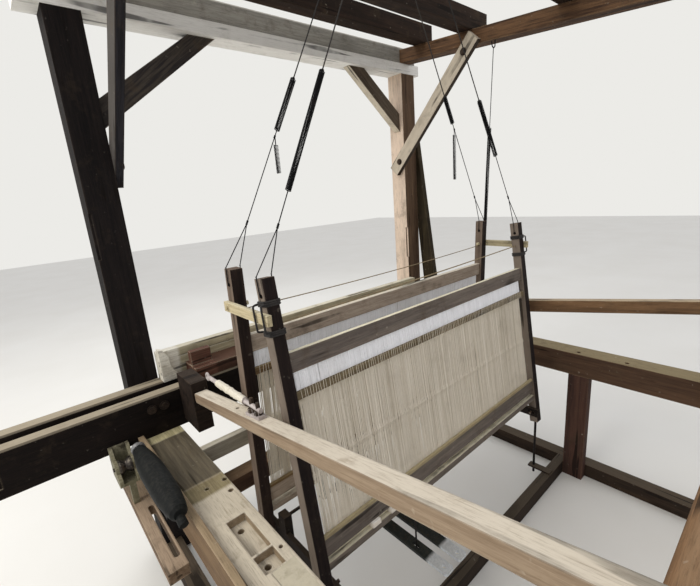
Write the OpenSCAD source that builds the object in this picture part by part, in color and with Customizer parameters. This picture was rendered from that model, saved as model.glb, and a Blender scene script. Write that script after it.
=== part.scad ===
// Timber-framed loom with a pair of hung heald frames.
// X runs across the loom, Y along the warp, Z up. The floor is z = 0.
// The front of the loom is its low-Y end, where the warp beam lies.

/* [Main frame] */
// Space between the left side rail and the heald frames
heald_left_space = 88; // [80:1:200]
// Space between the heald frames and the right side rail
heald_right_space = 105; // [80:1:200]
// Depth of the frame over the corner posts
frame_d = 1725; // [1600:1:2100]
// Width of a corner post across the loom
post_w = 100; // [80:1:120]
// Depth of a corner post along the loom
post_d = 95; // [80:1:115]
// Height of the rear posts
rear_post_h = 1945; // [1800:1:2200]
// Height of the side rails' top faces
rail_z = 610; // [540:1:680]
// Depth of the side rails
rail_h = 100; // [80:1:120]
// Width of the left side rail, a plank laid flat
rail_left_w = 118; // [100:1:140]
// Width of the right side rail
rail_right_w = 90; // [70:1:100]
// Width of the floor sills
sill_w = 60; // [50:1:80]
// Height of the floor sills
sill_h = 60; // [40:1:80]
// Thickness of the middle legs
leg_t = 42; // [30:1:60]
// Width of the middle legs along the loom
leg_d = 82; // [60:1:100]
// Distance of the middle legs from the front of the frame
leg_y = 646; // [500:1:700]

/* [Grooved cross-beam] */
// Length of the cross-beam past the left side rail
beam_left_over = 406; // [300:1:500]
// Thickness of the front board of the pair
beam_front_t = 50; // [35:1:60]
// Thickness of the rear board of the pair
beam_rear_t = 53; // [35:1:60]
// Groove between the two boards
beam_gap = 47; // [30:1:60]
// Height of the two boards
beam_h = 140; // [100:1:160]
// Height of the pale board that stands on the rear board
pale_board_h = 104; // [80:1:120]
// Thickness of the pale board
pale_board_t = 34; // [25:1:45]
// Height of the dark timber that lies over the groove
cap_h = 42; // [30:1:50]

/* [Overhead timbers] */
// Overhang of the pale top plank past the right posts
top_right_over = 40; // [35:1:100]
// Height of the pale plank under the rear top beam
top_plank_h = 48; // [30:1:60]
// Height of the rear top beam
top_beam_h = 78; // [60:1:100]
// Drop of the side top beams from back to front
top_drop = 144; // [80:1:180]
// Height of the side top beams
top_side_h = 62; // [50:1:80]
// Width of the side top beams
top_side_w = 70; // [50:1:90]
// Height of the cross timbers on the side top beams
top_cross_h = 80; // [60:1:100]
// Width of the cross timbers along the loom
top_cross_d = 76; // [60:1:100]
// Thickness of the knee braces
brace_t = 25; // [18:1:35]
// Width of the knee braces
brace_w = 64; // [45:1:80]

/* [Sloping side rails] */
// Width of a sloping rail
slope_w = 38; // [30:1:50]
// Height of the sloping rails where they meet the cross-beam
slope_rear_z = 748; // [735:1:750]
// Height of the left sloping rail at its front end
slope_left_z = 1006; // [900:1:1100]
// Height of the right sloping rail at its front end
slope_right_z = 965; // [900:1:1100]
// Depth of the left sloping rail
slope_left_h = 32; // [28:1:45]
// Depth of the right sloping rail
slope_right_h = 50; // [30:1:60]
// Distance of the left sloping rail's rear end from the cross-beam
slope_left_end = 132; // [60:1:200]
// Gap between the left side rail and the left sloping rail
slope_inset = 28; // [20:1:60]

/* [Heald frames] */
// Width of a heald frame over its posts
heald_w = 1233; // [1100:1:1300]
// Section of a heald post
heald_post = 34; // [28:1:45]
// Length of a heald post
heald_h = 892; // [800:1:950]
// Height of the heald posts' feet above the floor
heald_foot_z = 300; // [270:1:360]
// Height of a heald frame's top rail
heald_rail_h = 50; // [40:1:60]
// Thickness of the heald frame's rails
heald_rail_t = 18; // [14:1:24]
// Length of a heald post's head above the top rail
heald_head = 190; // [180:1:220]
// Distance from the post's foot to the top of the bottom rail
heald_low_z = 196; // [180:1:220]
// Thickness of the mat of heald strings
mat_t = 6; // [4:1:10]
// Number of gaps between the bundles of strings
mat_gaps = 56; // [20:1:100]
// Lean of the front heald frame
front_lean = 7.6; // [5:0.1:9]
// Lean of the rear heald frame
rear_lean = -1.9; // [-4:0.1:0]
// Spacing of the two heald frames at their feet
foot_spacing = 307; // [280:1:330]
// Travel of a heald frame each way from rest
heald_travel = 30; // [20:1:35]

/* [Harness] */
// Radius of the harness roller
roller_r = 50; // [35:1:70]
// Length of the harness roller
roller_l = 420; // [380:1:500]
// Distance of the cord grooves from the middle of the roller
groove_x = 17; // [16:1:80]
// Half the width of a cord groove
groove_half = 9; // [6:1:10]
// Distance of the roller's middle from the middle of the healds
roller_off = 40; // [0:1:80]
// Height of the harness roller's axis above the rear posts
roller_up = 310; // [285:1:400]
// Length of the wire loops over the heald posts' heads
loop_l = 122; // [60:1:150]
// Radius of the roller's axle
roller_axle_r = 10; // [7:1:14]
// Diameter of a harness spring
spring_d = 15; // [10:1:20]
// Diameter of a harness wire
wire_d = 3; // [2:0.5:5]

/* [Levers and rollers] */
// Width of a steel lever
lever_w = 40; // [30:1:55]
// Thickness of a steel lever
lever_t = 10; // [8:1:14]
// Length of the levers in front of their pivot
lever_l = 541; // [500:1:620]
// Height of the lever pivot
lever_z = 212; // [190:1:240]
// Radius of the lever pivot rod
lever_rod_r = 8; // [6:1:10]
// Radius of the warp beam's barrel
warp_r = 55; // [40:1:70]
// Radius of the warp beam's flanges
flange_r = 128; // [100:1:130]
// Radius of the warp beam's journals
journal_r = 14; // [10:1:18]
// Radius of the motor body
motor_r = 32; // [25:1:36]
// Length of the motor body
motor_l = 340; // [300:1:340]

/* [Clearances] */
// Running clearance of a journal in its bearing
run_gap = 0.06; // [0.02:0.01:0.09]
// Gap between pieces that slide past each other
side_gap = 0.4; // [0.3:0.1:1]

/* [Hidden] */

bay_w = heald_left_space + heald_w + heald_right_space;
overall_w = beam_left_over + rail_left_w + bay_w + post_w + top_right_over;
beam_w = overall_w - top_right_over;
x_left = -overall_w / 2;
rail_l0 = x_left + beam_left_over;
rail_l1 = rail_l0 + rail_left_w;
rail_r0 = rail_l1 + bay_w;
y_front = -frame_d / 2;
y_back = frame_d / 2;
rear_face = y_back - post_d;
front_face = y_front + post_d;
post_inset = 6;
rear_left_x = rail_l1 - post_inset - post_w;
slope_l0 = rail_l1 + slope_inset;
front_left_x = slope_l0 - post_w;
slope_r1 = rail_r0 - 15;
board_y1 = rear_face;
groove_y1 = board_y1 - beam_rear_t;
groove_y0 = groove_y1 - beam_gap;
board_y0 = groove_y0 - beam_front_t;
beam_z1 = rail_z + beam_h;
screw_head_r = 12;

// Side top beams: height of the underside at a place along the loom
top_z0 = rear_post_h + top_plank_h;
top_slope = top_drop / (frame_d - post_d);
function top_under(y) = top_z0 - (rear_face - y) * top_slope;
function top_over(y) = top_under(y) + top_side_h;

// Heald frames: both hang at rest with their feet at one height
heald_rail_z = heald_h - heald_head - heald_rail_h;
heald_x = rail_l1 + heald_left_space;
heald_x1 = heald_x + heald_w;
front_foot_y = y_front + 810;
rear_foot_y = front_foot_y + foot_spacing;
function lean_y(foot, lean, z) = foot + (z - heald_foot_z) * tan(lean);
heald_top_z = heald_foot_z + heald_h * cos(front_lean);
front_top_y = lean_y(front_foot_y, front_lean, heald_top_z);
rear_top_y = lean_y(rear_foot_y, rear_lean, heald_top_z);

// Slats that tie the frames near the top, and links near the foot
slat_drop = 36;
low_slat_h = 20;
low_slat_d = 26;
slat_t = 12;
slat_h = 26;
slat_z = heald_foot_z + heald_h - heald_head + 90;
slat_pin_y = lean_y(rear_foot_y, rear_lean, slat_z);
slat_front_y = lean_y(front_foot_y, front_lean, slat_z);
slat_pin_r = 6;
link_t = 14;
link_h = 36;
link_z = 352;
link_pin_y = lean_y(rear_foot_y, rear_lean, link_z);
link_front_y = lean_y(front_foot_y, front_lean, link_z);
link_pin_r = 5;
link_slot = 26;

// Harness roller above the middle of the healds
roller_x = heald_x + heald_w / 2 - roller_off;
roller_z = rear_post_h + roller_up;
roller_y = (front_top_y + rear_top_y) / 2;
block_t = 24;
block_x = roller_l / 2 + 6;
bearer_w = 50;
bearer_h = 50;
cross_mid_y = rear_face - 420;
cross_front_y = rear_face - 860;
cross_rear_y = rear_face - 165;

// Levers under the healds, on a rod that hangs below the dark tie timber
tie_w = 55;
tie_h = 55;
tie_y0 = rear_foot_y + 88;
tie_z0 = rail_z - 160;
lever_pivot_y = tie_y0 + tie_w / 2;
lever_gap_x = 30;
front_lever_x = heald_x + 369;
rear_lever_x = front_lever_x + lever_w + lever_gap_x;
pull_r = 3;
pull_slot = 26;
nut_gap = 4.5;

// Warp beam
warp_y = front_face + 45;
warp_z = rail_z + 40;
warp_inset = 80;
bearing_w = 44;
bearing_d = 70;

// Motor on the left, driving end at the back
motor_x = rail_l0 - 40;
motor_end_gap = 148;
motor_y = board_y0 - motor_end_gap - motor_l;
motor_z = rail_z + 50;
shaft_r = 7;

// Slotted board outside the left rail, and the bracket that stands on it
outrigger_w = 54;
outrigger_x = rear_left_x - 93;
outrigger_z = rail_z - 162;
outrigger_h = 34;
bracket_x = outrigger_x - 24;
bracket_w = 58;
bracket_d = 110;
bracket_y0 = board_y0 - bracket_d;
bracket_z = rail_z - 70;
bracket_h = 95;
cheek_t = 10;
wheel_y = bracket_y0 + 46;
wheel_z = bracket_z + 50;
wheel_r = 24;
wheel_axle_r = 6;

// A box from its low corner and its size
module block(x, y, z, w, d, h) {
    translate([x, y, z]) cube([w, d, h]);
}

// A profile in the Y-Z plane, carried along X
module along_x(x, w, points) {
    translate([x, 0, 0]) rotate([90, 0, 90]) linear_extrude(w) polygon(points);
}

// A profile in the X-Z plane, carried along Y
module along_y(y, d, points) {
    translate([0, y + d, 0]) rotate([90, 0, 0]) linear_extrude(d) polygon(points);
}

// A round bar along X
module bar_x(x, y, z, r, l) {
    translate([x, y, z]) rotate([0, 90, 0]) cylinder(h = l, r = r, $fn = 32);
}

// A round bar along Y
module bar_y(x, y, z, r, l) {
    translate([x, y, z]) rotate([-90, 0, 0]) cylinder(h = l, r = r, $fn = 32);
}

// A round-ended slot of length l along Y, cut along Z
module slot_z(x, y, z, r, l, h) {
    for (s = [-1, 1]) translate([x, y + s * (l / 2 - r), z]) cylinder(h = h, r = r, $fn = 32);
    translate([x - r, y - l / 2 + r, z]) cube([2 * r, l - 2 * r, h]);
}

// A round-ended slot of length l along Y, cut along X
module slot_x(x, y, z, r, l, w) {
    for (s = [-1, 1]) bar_x(x, y + s * (l / 2 - r), z, r, w);
    translate([x, y - l / 2 + r, z - r]) cube([w, l - 2 * r, 2 * r]);
}

// A straight round rod from one point to another
module rod(a, b, d, sides = 16) {
    v = b - a;
    l = norm(v);
    translate(a) rotate([0, acos(v.z / l), atan2(v.y, v.x)])
        cylinder(h = l, d = d, $fn = sides);
}

module post_rear_left() {
    color([0.10, 0.09, 0.08]) difference() {
        block(rear_left_x, rear_face, 0, post_w, post_d, rear_post_h);
        block(rear_left_x - 1, rear_face - 1, 0.62 * rear_post_h, 9, 12, 150);
    }
}

module post_rear_right() {
    color([0.52, 0.38, 0.27]) difference() {
        block(rail_r0, rear_face, 0, post_w, post_d, rear_post_h);
        block(rail_r0 - 1, rear_face - 1, 0.5 * rear_post_h, 8, 12, 170);
    }
}

// Front posts are cut to the slope of the side top beams
module front_post(x) {
    along_x(x, post_w, [[y_front, 0], [front_face, 0],
        [front_face, top_under(front_face)], [y_front, top_under(y_front)]]);
}

module post_front_left() {
    color([0.40, 0.30, 0.22]) front_post(front_left_x);
}

module post_front_right() {
    color([0.42, 0.31, 0.22]) front_post(slope_r1);
}

pocket_x = rail_l0 + 44;
pocket_w = 48;
pocket_y = [y_front + 812, y_front + 751];
pocket_l = [130, 55];
pocket_deep = 22;
plate_w = 56;
plate_l = 150;
plate_t = 6;

// The left side rail is a flat plank with two pockets and a plate let in
module side_rail_left() {
    color([0.70, 0.64, 0.54]) difference() {
        block(rail_l0, front_face, rail_z - rail_h, rail_left_w, rear_face - front_face, rail_h);
        for (i = [0, 1])
            block(pocket_x, pocket_y[i], rail_z - pocket_deep, pocket_w, pocket_l[i], pocket_deep + 1);
        block(pocket_x + 12, pocket_y[1] - 4 - plate_l, rail_z - plate_t, plate_w, plate_l, plate_t + 1);
        for (p = [[58, 1094, 6], [103, 1041, 7], [110, 1096, 7], [104, 790, 5], [67, 916, 8], [65, 784, 8]])
            translate([rail_l0 + p[0], y_front + p[1], rail_z - rail_h - 1])
                cylinder(h = rail_h + 2, r = p[2], $fn = 24);
    }
}

module pocket_plate() {
    color([0.55, 0.54, 0.48])
        block(pocket_x + 12, pocket_y[1] - 4 - plate_l, rail_z - plate_t, plate_w, plate_l, plate_t);
}

board_t = 18;
board_rise = 22;

// Board nailed along the outside of the left side rail, standing a little proud
module side_board_left() {
    color([0.55, 0.40, 0.28]) difference() {
        block(rail_l0 - board_t, front_face + 300, rail_z - rail_h + 12, board_t,
            board_y0 - front_face - 300 - 6, rail_h - 12 + board_rise);
        along_x(rail_l0 - board_t - 1, board_t + 2, [[front_face + 299, rail_z - rail_h + 60],
            [front_face + 299, rail_z + board_rise + 1], [front_face + 360, rail_z + board_rise + 1]]);
    }
}

module side_rail_right() {
    color([0.42, 0.30, 0.22]) difference() {
        block(rail_r0, front_face, rail_z - rail_h, rail_right_w, rear_face - front_face, rail_h);
        for (y = [leg_y - 126, leg_y + 54])
            translate([rail_r0 + 24, y_front + y, rail_z - 40]) cylinder(h = 41, r = 8, $fn = 24);
    }
}

// Legs that stand under the inner edges of the side rails
module middle_legs() {
    color([0.30, 0.20, 0.16]) for (x = [rail_l1 - leg_t, rail_r0])
        block(x, y_front + leg_y, 0, leg_t, leg_d, rail_z - rail_h);
}

module sills() {
    color([0.16, 0.13, 0.11]) for (x = [rail_l1 - leg_t - sill_w, rail_r0 + leg_t])
        block(x, front_face, 0, sill_w, rear_face - front_face, sill_h);
}

tie_rod_y = front_foot_y;
tie_rod_r = 5;
guide_t = 8;
floor_tie_y = y_front + leg_y + leg_d;
floor_tie_w = 38;

// Floor tie with a guide lug at each end for the heald tie rods
module floor_tie() {
    x0 = rail_l1 - leg_t;
    x1 = rail_r0 + leg_t;
    lug_y = floor_tie_y + floor_tie_w;
    color([0.13, 0.11, 0.10]) difference() {
        union() {
            block(x0, floor_tie_y, 0, x1 - x0, floor_tie_w, sill_h);
            for (x = [heald_x + heald_post / 2, heald_x1 - heald_post / 2])
                block(x - 16, floor_tie_y + 4, sill_h, 32, tie_rod_y + 16 - floor_tie_y, guide_t);
        }
        for (x = [heald_x + heald_post / 2, heald_x1 - heald_post / 2])
            translate([x, tie_rod_y, sill_h - 1]) cylinder(h = guide_t + 2, r = tie_rod_r + run_gap, $fn = 32);
    }
}

// Plain tie between the front posts
module front_tie() {
    x0 = front_left_x + post_w;
    color([0.45, 0.35, 0.26])
        block(x0, y_front + 20, rail_z - 260, slope_r1 - x0, 50, 90);
}

grey_tie_y = rear_face - 355;

module grey_tie_board() {
    color([0.62, 0.60, 0.54]) block(rail_l1, grey_tie_y, rail_z - 54, bay_w, 25, 54);
}

module dark_tie_timber() {
    color([0.22, 0.16, 0.12]) block(rail_l1, tie_y0, tie_z0, bay_w, tie_w, tie_h);
}

// Slotted board beside the left rail, packed off the rear left post
module outrigger() {
    y0 = board_y0 - 410;
    z0 = outrigger_z - outrigger_h;
    color([0.46, 0.38, 0.30]) difference() {
        union() {
            block(outrigger_x, y0, z0, outrigger_w, y_back - y0, outrigger_h);
            block(outrigger_x, rear_face, z0, rear_left_x - outrigger_x, post_d, outrigger_h);
        }
        slot_z(outrigger_x + 39, y0 + 170, z0 - 1, 8, 257, outrigger_h + 2);
    }
}

// Saw kerfs and a rubbed arris run along both boards of the cross-beam
module cross_board(y, t) {
    ease = 5;
    difference() {
        along_x(x_left, beam_w, [[y, rail_z], [y + t, rail_z], [y + t, beam_z1 - ease],
            [y + t - ease, beam_z1], [y + ease, beam_z1], [y, beam_z1 - ease]]);
        block(x_left + 38, y - 1, rail_z + 30, 10, 5, beam_h);
    }
}

module cross_board_front() {
    color([0.26, 0.20, 0.15]) cross_board(board_y0, beam_front_t);
}

module cross_board_rear() {
    color([0.40, 0.34, 0.26]) cross_board(groove_y1, beam_rear_t);
}

end_block_w = 52;

// Packing blocks that hold the two boards apart, and the upright block at the left sloping rail's end
module cross_beam_blocks() {
    color([0.18, 0.14, 0.11]) {
        for (x = [x_left + 60, rail_l1 - 90, roller_x, rail_r0 + 10])
            block(x, groove_y0, rail_z, 80, beam_gap, beam_h - 34);
        block(slope_l0 - 7, board_y0 - slope_left_end, rail_z + 20, end_block_w, slope_left_end, beam_h + 34);
    }
}

// Pale board on edge behind the healds, with two sunk lines along its face
module pale_board() {
    x0 = rear_left_x + post_w + 2;
    y0 = rear_face - 8 - pale_board_t;
    color([0.80, 0.76, 0.62]) difference() {
        block(x0, y0, beam_z1, rail_r0 - x0 - 2, pale_board_t, pale_board_h);
        for (k = [0.36, 0.68])
            block(x0 + 70, y0 - 1, beam_z1 + k * pale_board_h, rail_r0 - x0 - 71, 4, 4);
    }
    color([0.84, 0.80, 0.70]) along_y(y0 - 26, 26, [[x0, beam_z1], [x0 + 66, beam_z1], [x0 + 60, beam_z1 + 12],
        [x0 + 36, beam_z1 + 44], [x0 + 31, beam_z1 + 92], [x0 + 14, beam_z1 + 118], [x0, beam_z1 + 122]]);
}

cap_x = rail_l1 + 88;
cap_block_w = 75;
cap_block_h = 52;

module cap_timber() {
    x1 = rail_r0 - 60;
    y0 = board_y0 + 5;
    color([0.20, 0.14, 0.12]) union() {
        block(cap_x, y0, beam_z1, x1 - cap_x, rear_face - 8 - pale_board_t - y0, cap_h);
        block(cap_x + 3, y0 + 40, beam_z1 + cap_h, cap_block_w, 26, cap_block_h);
    }
}

// Rail that falls from the front post to the cross-beam
module sloping_rail(x, front_z, deep_front, deep_rear, end_gap) {
    y = board_y0 - end_gap;
    z = slope_rear_z + end_gap * (front_z - slope_rear_z) / (board_y0 - y_front);
    along_x(x, slope_w, [[y, z - deep_rear + 6], [y, z - 5], [y - 6, z + 6 * (front_z - z) / (y - y_front)],
        [y_front, front_z], [y_front, front_z - deep_front], [y - 6, z - deep_rear]]);
}

module sloping_rail_left() {
    color([0.72, 0.68, 0.60]) difference() {
        sloping_rail(slope_l0, slope_left_z, slope_left_h + 8, slope_left_h, slope_left_end);
        translate([slope_l0 + slope_w / 2, board_y0 - 420, slope_rear_z]) cylinder(h = 300, r = 5, $fn = 24);
    }
}

module sloping_rail_right() {
    color([0.50, 0.38, 0.26])
        sloping_rail(slope_r1 - slope_w, slope_right_z, slope_right_h - 8, slope_right_h + 8, 0);
}

top_x0 = rear_left_x - 60;
top_x1 = rail_r0 + post_w + top_right_over;
rest_gap = 0.02;

module top_plank() {
    color([0.80, 0.78, 0.72]) block(top_x0, rear_face, rear_post_h, top_x1 - top_x0, post_d, top_plank_h);
}

module top_rear_beam() {
    ease = 8;
    z = top_z0;
    color([0.50, 0.46, 0.40]) along_x(top_x0, top_x1 - top_x0 - 24,
        [[rear_face + 6, z], [y_back, z], [y_back, z + top_beam_h - ease], [y_back - ease, z + top_beam_h],
        [rear_face + 6 + ease, z + top_beam_h], [rear_face + 6, z + top_beam_h - ease]]);
}

right_top_x = rail_r0;
left_top_x = rear_left_x + post_w - top_side_w;

// Side top beams fall towards the front and rest on the front posts
module top_side_beam(x) {
    end_y = rear_face + 6;
    along_x(x, top_side_w, [[y_front, top_under(y_front)], [rear_face, top_under(rear_face)],
        [end_y, top_under(rear_face)], [end_y, top_over(rear_face)], [rear_face, top_over(rear_face)],
        [y_front, top_over(y_front)]]);
}

module top_side_beams() {
    color([0.48, 0.33, 0.21]) for (x = [left_top_x, right_top_x]) top_side_beam(x);
}

// Cross timbers lie on the side beams and follow their slope
module top_cross(y, d, x1) {
    g = rest_gap;
    along_x(top_x0 + 20, x1 - top_x0 - 20, [[y, top_over(y) + g], [y + d, top_over(y + d) + g],
        [y + d, top_over(y + d) + top_cross_h], [y, top_over(y) + top_cross_h]]);
}

module top_cross_timbers() {
    color([0.14, 0.12, 0.11]) union() {
        top_cross(cross_mid_y, top_cross_d, top_x1 - 20);
        top_cross(cross_front_y, top_cross_d, top_x1 - 20);
        top_cross(cross_rear_y, top_cross_d, top_x1 - 90);
    }
}

// Bearers bridge the two front cross timbers and carry the roller's blocks
module roller_bearers() {
    y0 = cross_front_y - 30;
    y1 = cross_mid_y + top_cross_d + 30;
    color([0.35, 0.26, 0.19]) for (s = [-1, 1])
        along_x(roller_x + s * (block_x + block_t / 2) - bearer_w / 2, bearer_w,
            [[y0, top_over(y0) + top_cross_h + rest_gap], [y1, top_over(y1) + top_cross_h + rest_gap],
            [y1, top_over(y1) + top_cross_h + bearer_h], [y0, top_over(y0) + top_cross_h + bearer_h]]);
}

module roller_blocks() {
    half = 38;
    function foot(y) = top_over(y) + top_cross_h + bearer_h + rest_gap;
    color([0.42, 0.31, 0.21]) for (s = [-1, 1]) difference() {
        along_x(roller_x + s * (block_x + block_t / 2) - block_t / 2, block_t,
            [[roller_y - half - 20, foot(roller_y - half - 20)], [roller_y + half + 20, foot(roller_y + half + 20)],
            [roller_y + half, roller_z + 34], [roller_y - half, roller_z + 34]]);
        bar_x(roller_x + s * (block_x + block_t / 2) - block_t, roller_y, roller_z,
            roller_axle_r + run_gap, 2 * block_t);
    }
}

// Rear knee braces between the rear posts and the plank above
module knee_brace(x_post, z_post, x_top, dir) {
    y0 = rear_face + 24;
    w = brace_w / sin(45);
    along_y(y0, 40, [[x_post, z_post], [x_post, z_post + w], [x_top - dir * w * 0.6, rear_post_h],
        [x_top + dir * w * 0.5, rear_post_h]]);
}

module knee_braces() {
    color([0.72, 0.66, 0.56]) union() {
        knee_brace(rear_left_x + post_w, rear_post_h - 330, rear_left_x + post_w + 380, 1);
        knee_brace(rail_r0, rear_post_h - 285, rail_r0 - 300, -1);
    }
}

// Side braces are nailed to the outer or inner faces of post and top beam
side_brace_z = rear_post_h - 490;
side_brace_y = rear_face - 440;
brace_run = rear_face + 60 - side_brace_y;
brace_rise = top_over(side_brace_y) - 30 - side_brace_z;

module side_brace(x) {
    run = brace_run;
    rise = brace_rise;
    a = atan2(rise, run);
    half = brace_w / 2;
    cy = cos(a);
    sy = sin(a);
    foot = [rear_face + 60, side_brace_z];
    head = [side_brace_y, side_brace_z + rise];
    along_x(x, brace_t, [[foot.x - half * sy, foot.y - half * cy], [foot.x + half * sy, foot.y + half * cy],
        [head.x + half * sy, head.y + half * cy], [head.x - half * sy, head.y - half * cy]]);
}

module side_braces() {
    color([0.74, 0.68, 0.58]) {
        side_brace(rail_r0 - brace_t);
        side_brace(rear_left_x + post_w);
    }
}

// Prop on the outside of the right rear post, from the post down to the side rail
module prop_right() {
    x = rail_r0 + post_w;
    color([0.20, 0.18, 0.12]) along_x(x, 30, [[rear_face - 150, rail_z - rail_h], [rear_face - 60, rail_z - rail_h],
        [rear_face + 50, rear_post_h - 295], [rear_face + 4, rear_post_h - 255]]);
}

// The head of a coach screw and its washer, standing on a timber's face
module screw_head() {
    cylinder(h = 2, r = screw_head_r + 4, $fn = 24);
    translate([0, 0, 2]) cylinder(h = 7, r = screw_head_r, $fn = 6);
}

module screw_x(x, y, z, dir) {
    translate([x, y, z]) rotate([0, dir * 90, 0]) screw_head();
}

module screw_y(x, y, z) {
    translate([x, y, z]) rotate([90, 0, 0]) screw_head();
}

module coach_screws() {
    color([0.20, 0.18, 0.17]) union() {
        for (k = [0.09, 0.90]) {
            screw_x(rail_r0 - brace_t, rear_face + 60 - k * brace_run, side_brace_z + k * brace_rise, -1);
            screw_x(rear_left_x + post_w + brace_t, rear_face + 60 - k * brace_run,
                side_brace_z + k * brace_rise, 1);
        }
        for (x = [rear_left_x + 30, rear_left_x + 70, rail_r0 + 30, rail_r0 + 70])
            screw_y(x, board_y0, rail_z + 96);
        screw_x(slope_l0 + slope_w, y_front + post_d / 2, slope_left_z - 26, 1);
        screw_x(slope_r1 - slope_w, y_front + post_d / 2, slope_right_z - 26, -1);
    }
}

stick_y0 = board_y0 - 554;
stick_l = 307;
stick_up = 22;

// A wrapped rod with an eye, held above the left sloping rail by a pad and two bolts
module rail_stick() {
    x = slope_l0 + slope_w / 2;
    y1 = stick_y0 + stick_l;
    slope = (slope_left_z - slope_rear_z) / (board_y0 - y_front);
    function top(y) = slope_rear_z + (board_y0 - y) * slope;
    z0 = top(stick_y0) + stick_up;
    z1 = z0 - 9;
    function at(t) = [x - 3 * t, stick_y0 - 4 + (stick_l + 4) * t, z0 + (z1 - z0) * t];
    color([0.60, 0.57, 0.48]) union() {
        rod(at(0), at(1), 12, 20);
        rod(at(0.26), at(0.80), 18, 24);
        translate([x - 3, y1 + 8, z1]) rotate([0, 90, 0]) rotate_extrude($fn = 32)
            translate([10, 0]) circle(r = 3.4, $fn = 16);
        along_x(x - 11, 22, [[stick_y0 - 8, top(stick_y0 - 8)], [stick_y0 + 62, top(stick_y0 + 62)],
            [stick_y0 + 62, top(stick_y0 + 62) + 9], [stick_y0 - 8, top(stick_y0 - 8) + 9]]);
        for (y = [stick_y0 + 10, stick_y0 + 44]) translate([x, y, top(y) + 4]) {
            cylinder(h = 16, r = 10, $fn = 6);
            cylinder(h = z0 - top(y) + 12, r = 5, $fn = 16);
        }
    }
}

// Pivot rod of the levers, hung under the dark timber in two straps
module lever_pivot() {
    x0 = front_lever_x - 60;
    x1 = rear_lever_x + lever_w + 60;
    strap = 10;
    foot = 60;
    color([0.25, 0.24, 0.23]) union() {
        bar_x(x0 - 8, lever_pivot_y, lever_z, lever_rod_r, x1 - x0 + 16);
        for (x = [x0, x1 - strap])
            along_x(x, strap, [[lever_pivot_y - tie_w / 2, tie_z0], [lever_pivot_y - 15, lever_z + 40],
                [lever_pivot_y - 15, lever_z - 8], [lever_pivot_y - 8, lever_z - 15],
                [lever_pivot_y + 8, lever_z - 15], [lever_pivot_y + 15, lever_z - 8],
                [lever_pivot_y + 15, lever_z + 40], [lever_pivot_y + tie_w / 2, tie_z0]]);
        for (x = [x0 - foot, x1]) block(x, tie_y0, tie_z0 - 6, foot, tie_w, 6);
    }
}

module lever(x, rod_y) {
    tip_y = lever_pivot_y - lever_l;
    difference() {
        union() {
            translate([x, 0, lever_z - lever_t / 2]) linear_extrude(lever_t)
                polygon([[0, lever_pivot_y], [0, tip_y + 6], [6, tip_y], [lever_w - 6, tip_y],
                    [lever_w, tip_y + 6], [lever_w, lever_pivot_y]]);
            bar_x(x, lever_pivot_y, lever_z, lever_rod_r + 8, lever_w);
        }
        bar_x(x - 1, lever_pivot_y, lever_z, lever_rod_r + run_gap, lever_w + 2);
        slot_z(x + lever_w / 2, rod_y, lever_z - lever_t, pull_r + 1.5, pull_slot, 2 * lever_t);
        translate([x + lever_w / 2, tip_y + 24, lever_z - lever_t]) cylinder(h = 2 * lever_t, r = 7, $fn = 24);
    }
}

low_slat_z = heald_foot_z + (heald_low_z - heald_rail_h - slat_drop) * cos(front_lean);
front_pull_y = lean_y(front_foot_y, front_lean, low_slat_z);
rear_pull_y = lean_y(rear_foot_y, rear_lean, low_slat_z);

module front_lever() {
    color([0.60, 0.60, 0.60]) lever(front_lever_x, front_pull_y);
}

module rear_lever() {
    color([0.62, 0.62, 0.62]) lever(rear_lever_x, rear_pull_y);
}

// A rod from a heald frame's lowest slat down through a lever, with a nut under the lever
module pull_rod(x, y) {
    nut_z = lever_z - lever_t / 2 - nut_gap;
    translate([x + lever_w / 2, y, 0]) {
        translate([0, 0, nut_z - 16]) cylinder(h = low_slat_z - 1 - nut_z + 16, r = pull_r, $fn = 24);
        translate([0, 0, nut_z - 8]) cylinder(h = 8, r = 7, $fn = 6);
        translate([0, 0, low_slat_z - 13]) cylinder(h = 12, r = 6, $fn = 24);
    }
}

module front_pull_rod() {
    color([0.12, 0.12, 0.12]) pull_rod(front_lever_x, front_pull_y);
}

module rear_pull_rod() {
    color([0.12, 0.12, 0.12]) pull_rod(rear_lever_x, rear_pull_y);
}

// Bearing blocks of the warp beam stand on the side rails
module warp_bearings() {
    h = warp_z - rail_z + journal_r + 22;
    color([0.38, 0.29, 0.20]) for (x = [rail_l1 - bearing_w, rail_r0]) difference() {
        along_x(x, bearing_w, [[warp_y - bearing_d / 2, rail_z], [warp_y + bearing_d / 2, rail_z],
            [warp_y + bearing_d / 2, rail_z + h - 14], [warp_y + bearing_d / 2 - 14, rail_z + h],
            [warp_y - bearing_d / 2 + 14, rail_z + h], [warp_y - bearing_d / 2, rail_z + h - 14]]);
        bar_x(x - 1, warp_y, warp_z, journal_r + run_gap, bearing_w + 2);
    }
}

// Barrel, flanges and journals, turned about the X axis
module warp_beam() {
    x0 = rail_l1 - bearing_w - 6;
    x1 = rail_r0 + bearing_w + 6;
    b0 = rail_l1 + warp_inset - x0;
    b1 = rail_r0 - warp_inset - x0;
    t = 14;
    color([0.50, 0.38, 0.27]) translate([x0, warp_y, warp_z]) rotate([0, 90, 0])
        rotate_extrude($fn = 64) polygon([[0, 0], [journal_r, 0], [journal_r, b0 - 30], [30, b0 - 30],
            [30, b0], [flange_r - 5, b0], [flange_r, b0 + 5], [flange_r, b0 + t - 2], [flange_r - 2, b0 + t],
            [warp_r, b0 + t], [warp_r, b1 - t], [flange_r - 2, b1 - t], [flange_r, b1 - t + 2],
            [flange_r, b1 - 5], [flange_r - 5, b1], [30, b1], [30, b1 + 30], [journal_r, b1 + 30],
            [journal_r, x1 - x0], [0, x1 - x0]]);
}

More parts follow.
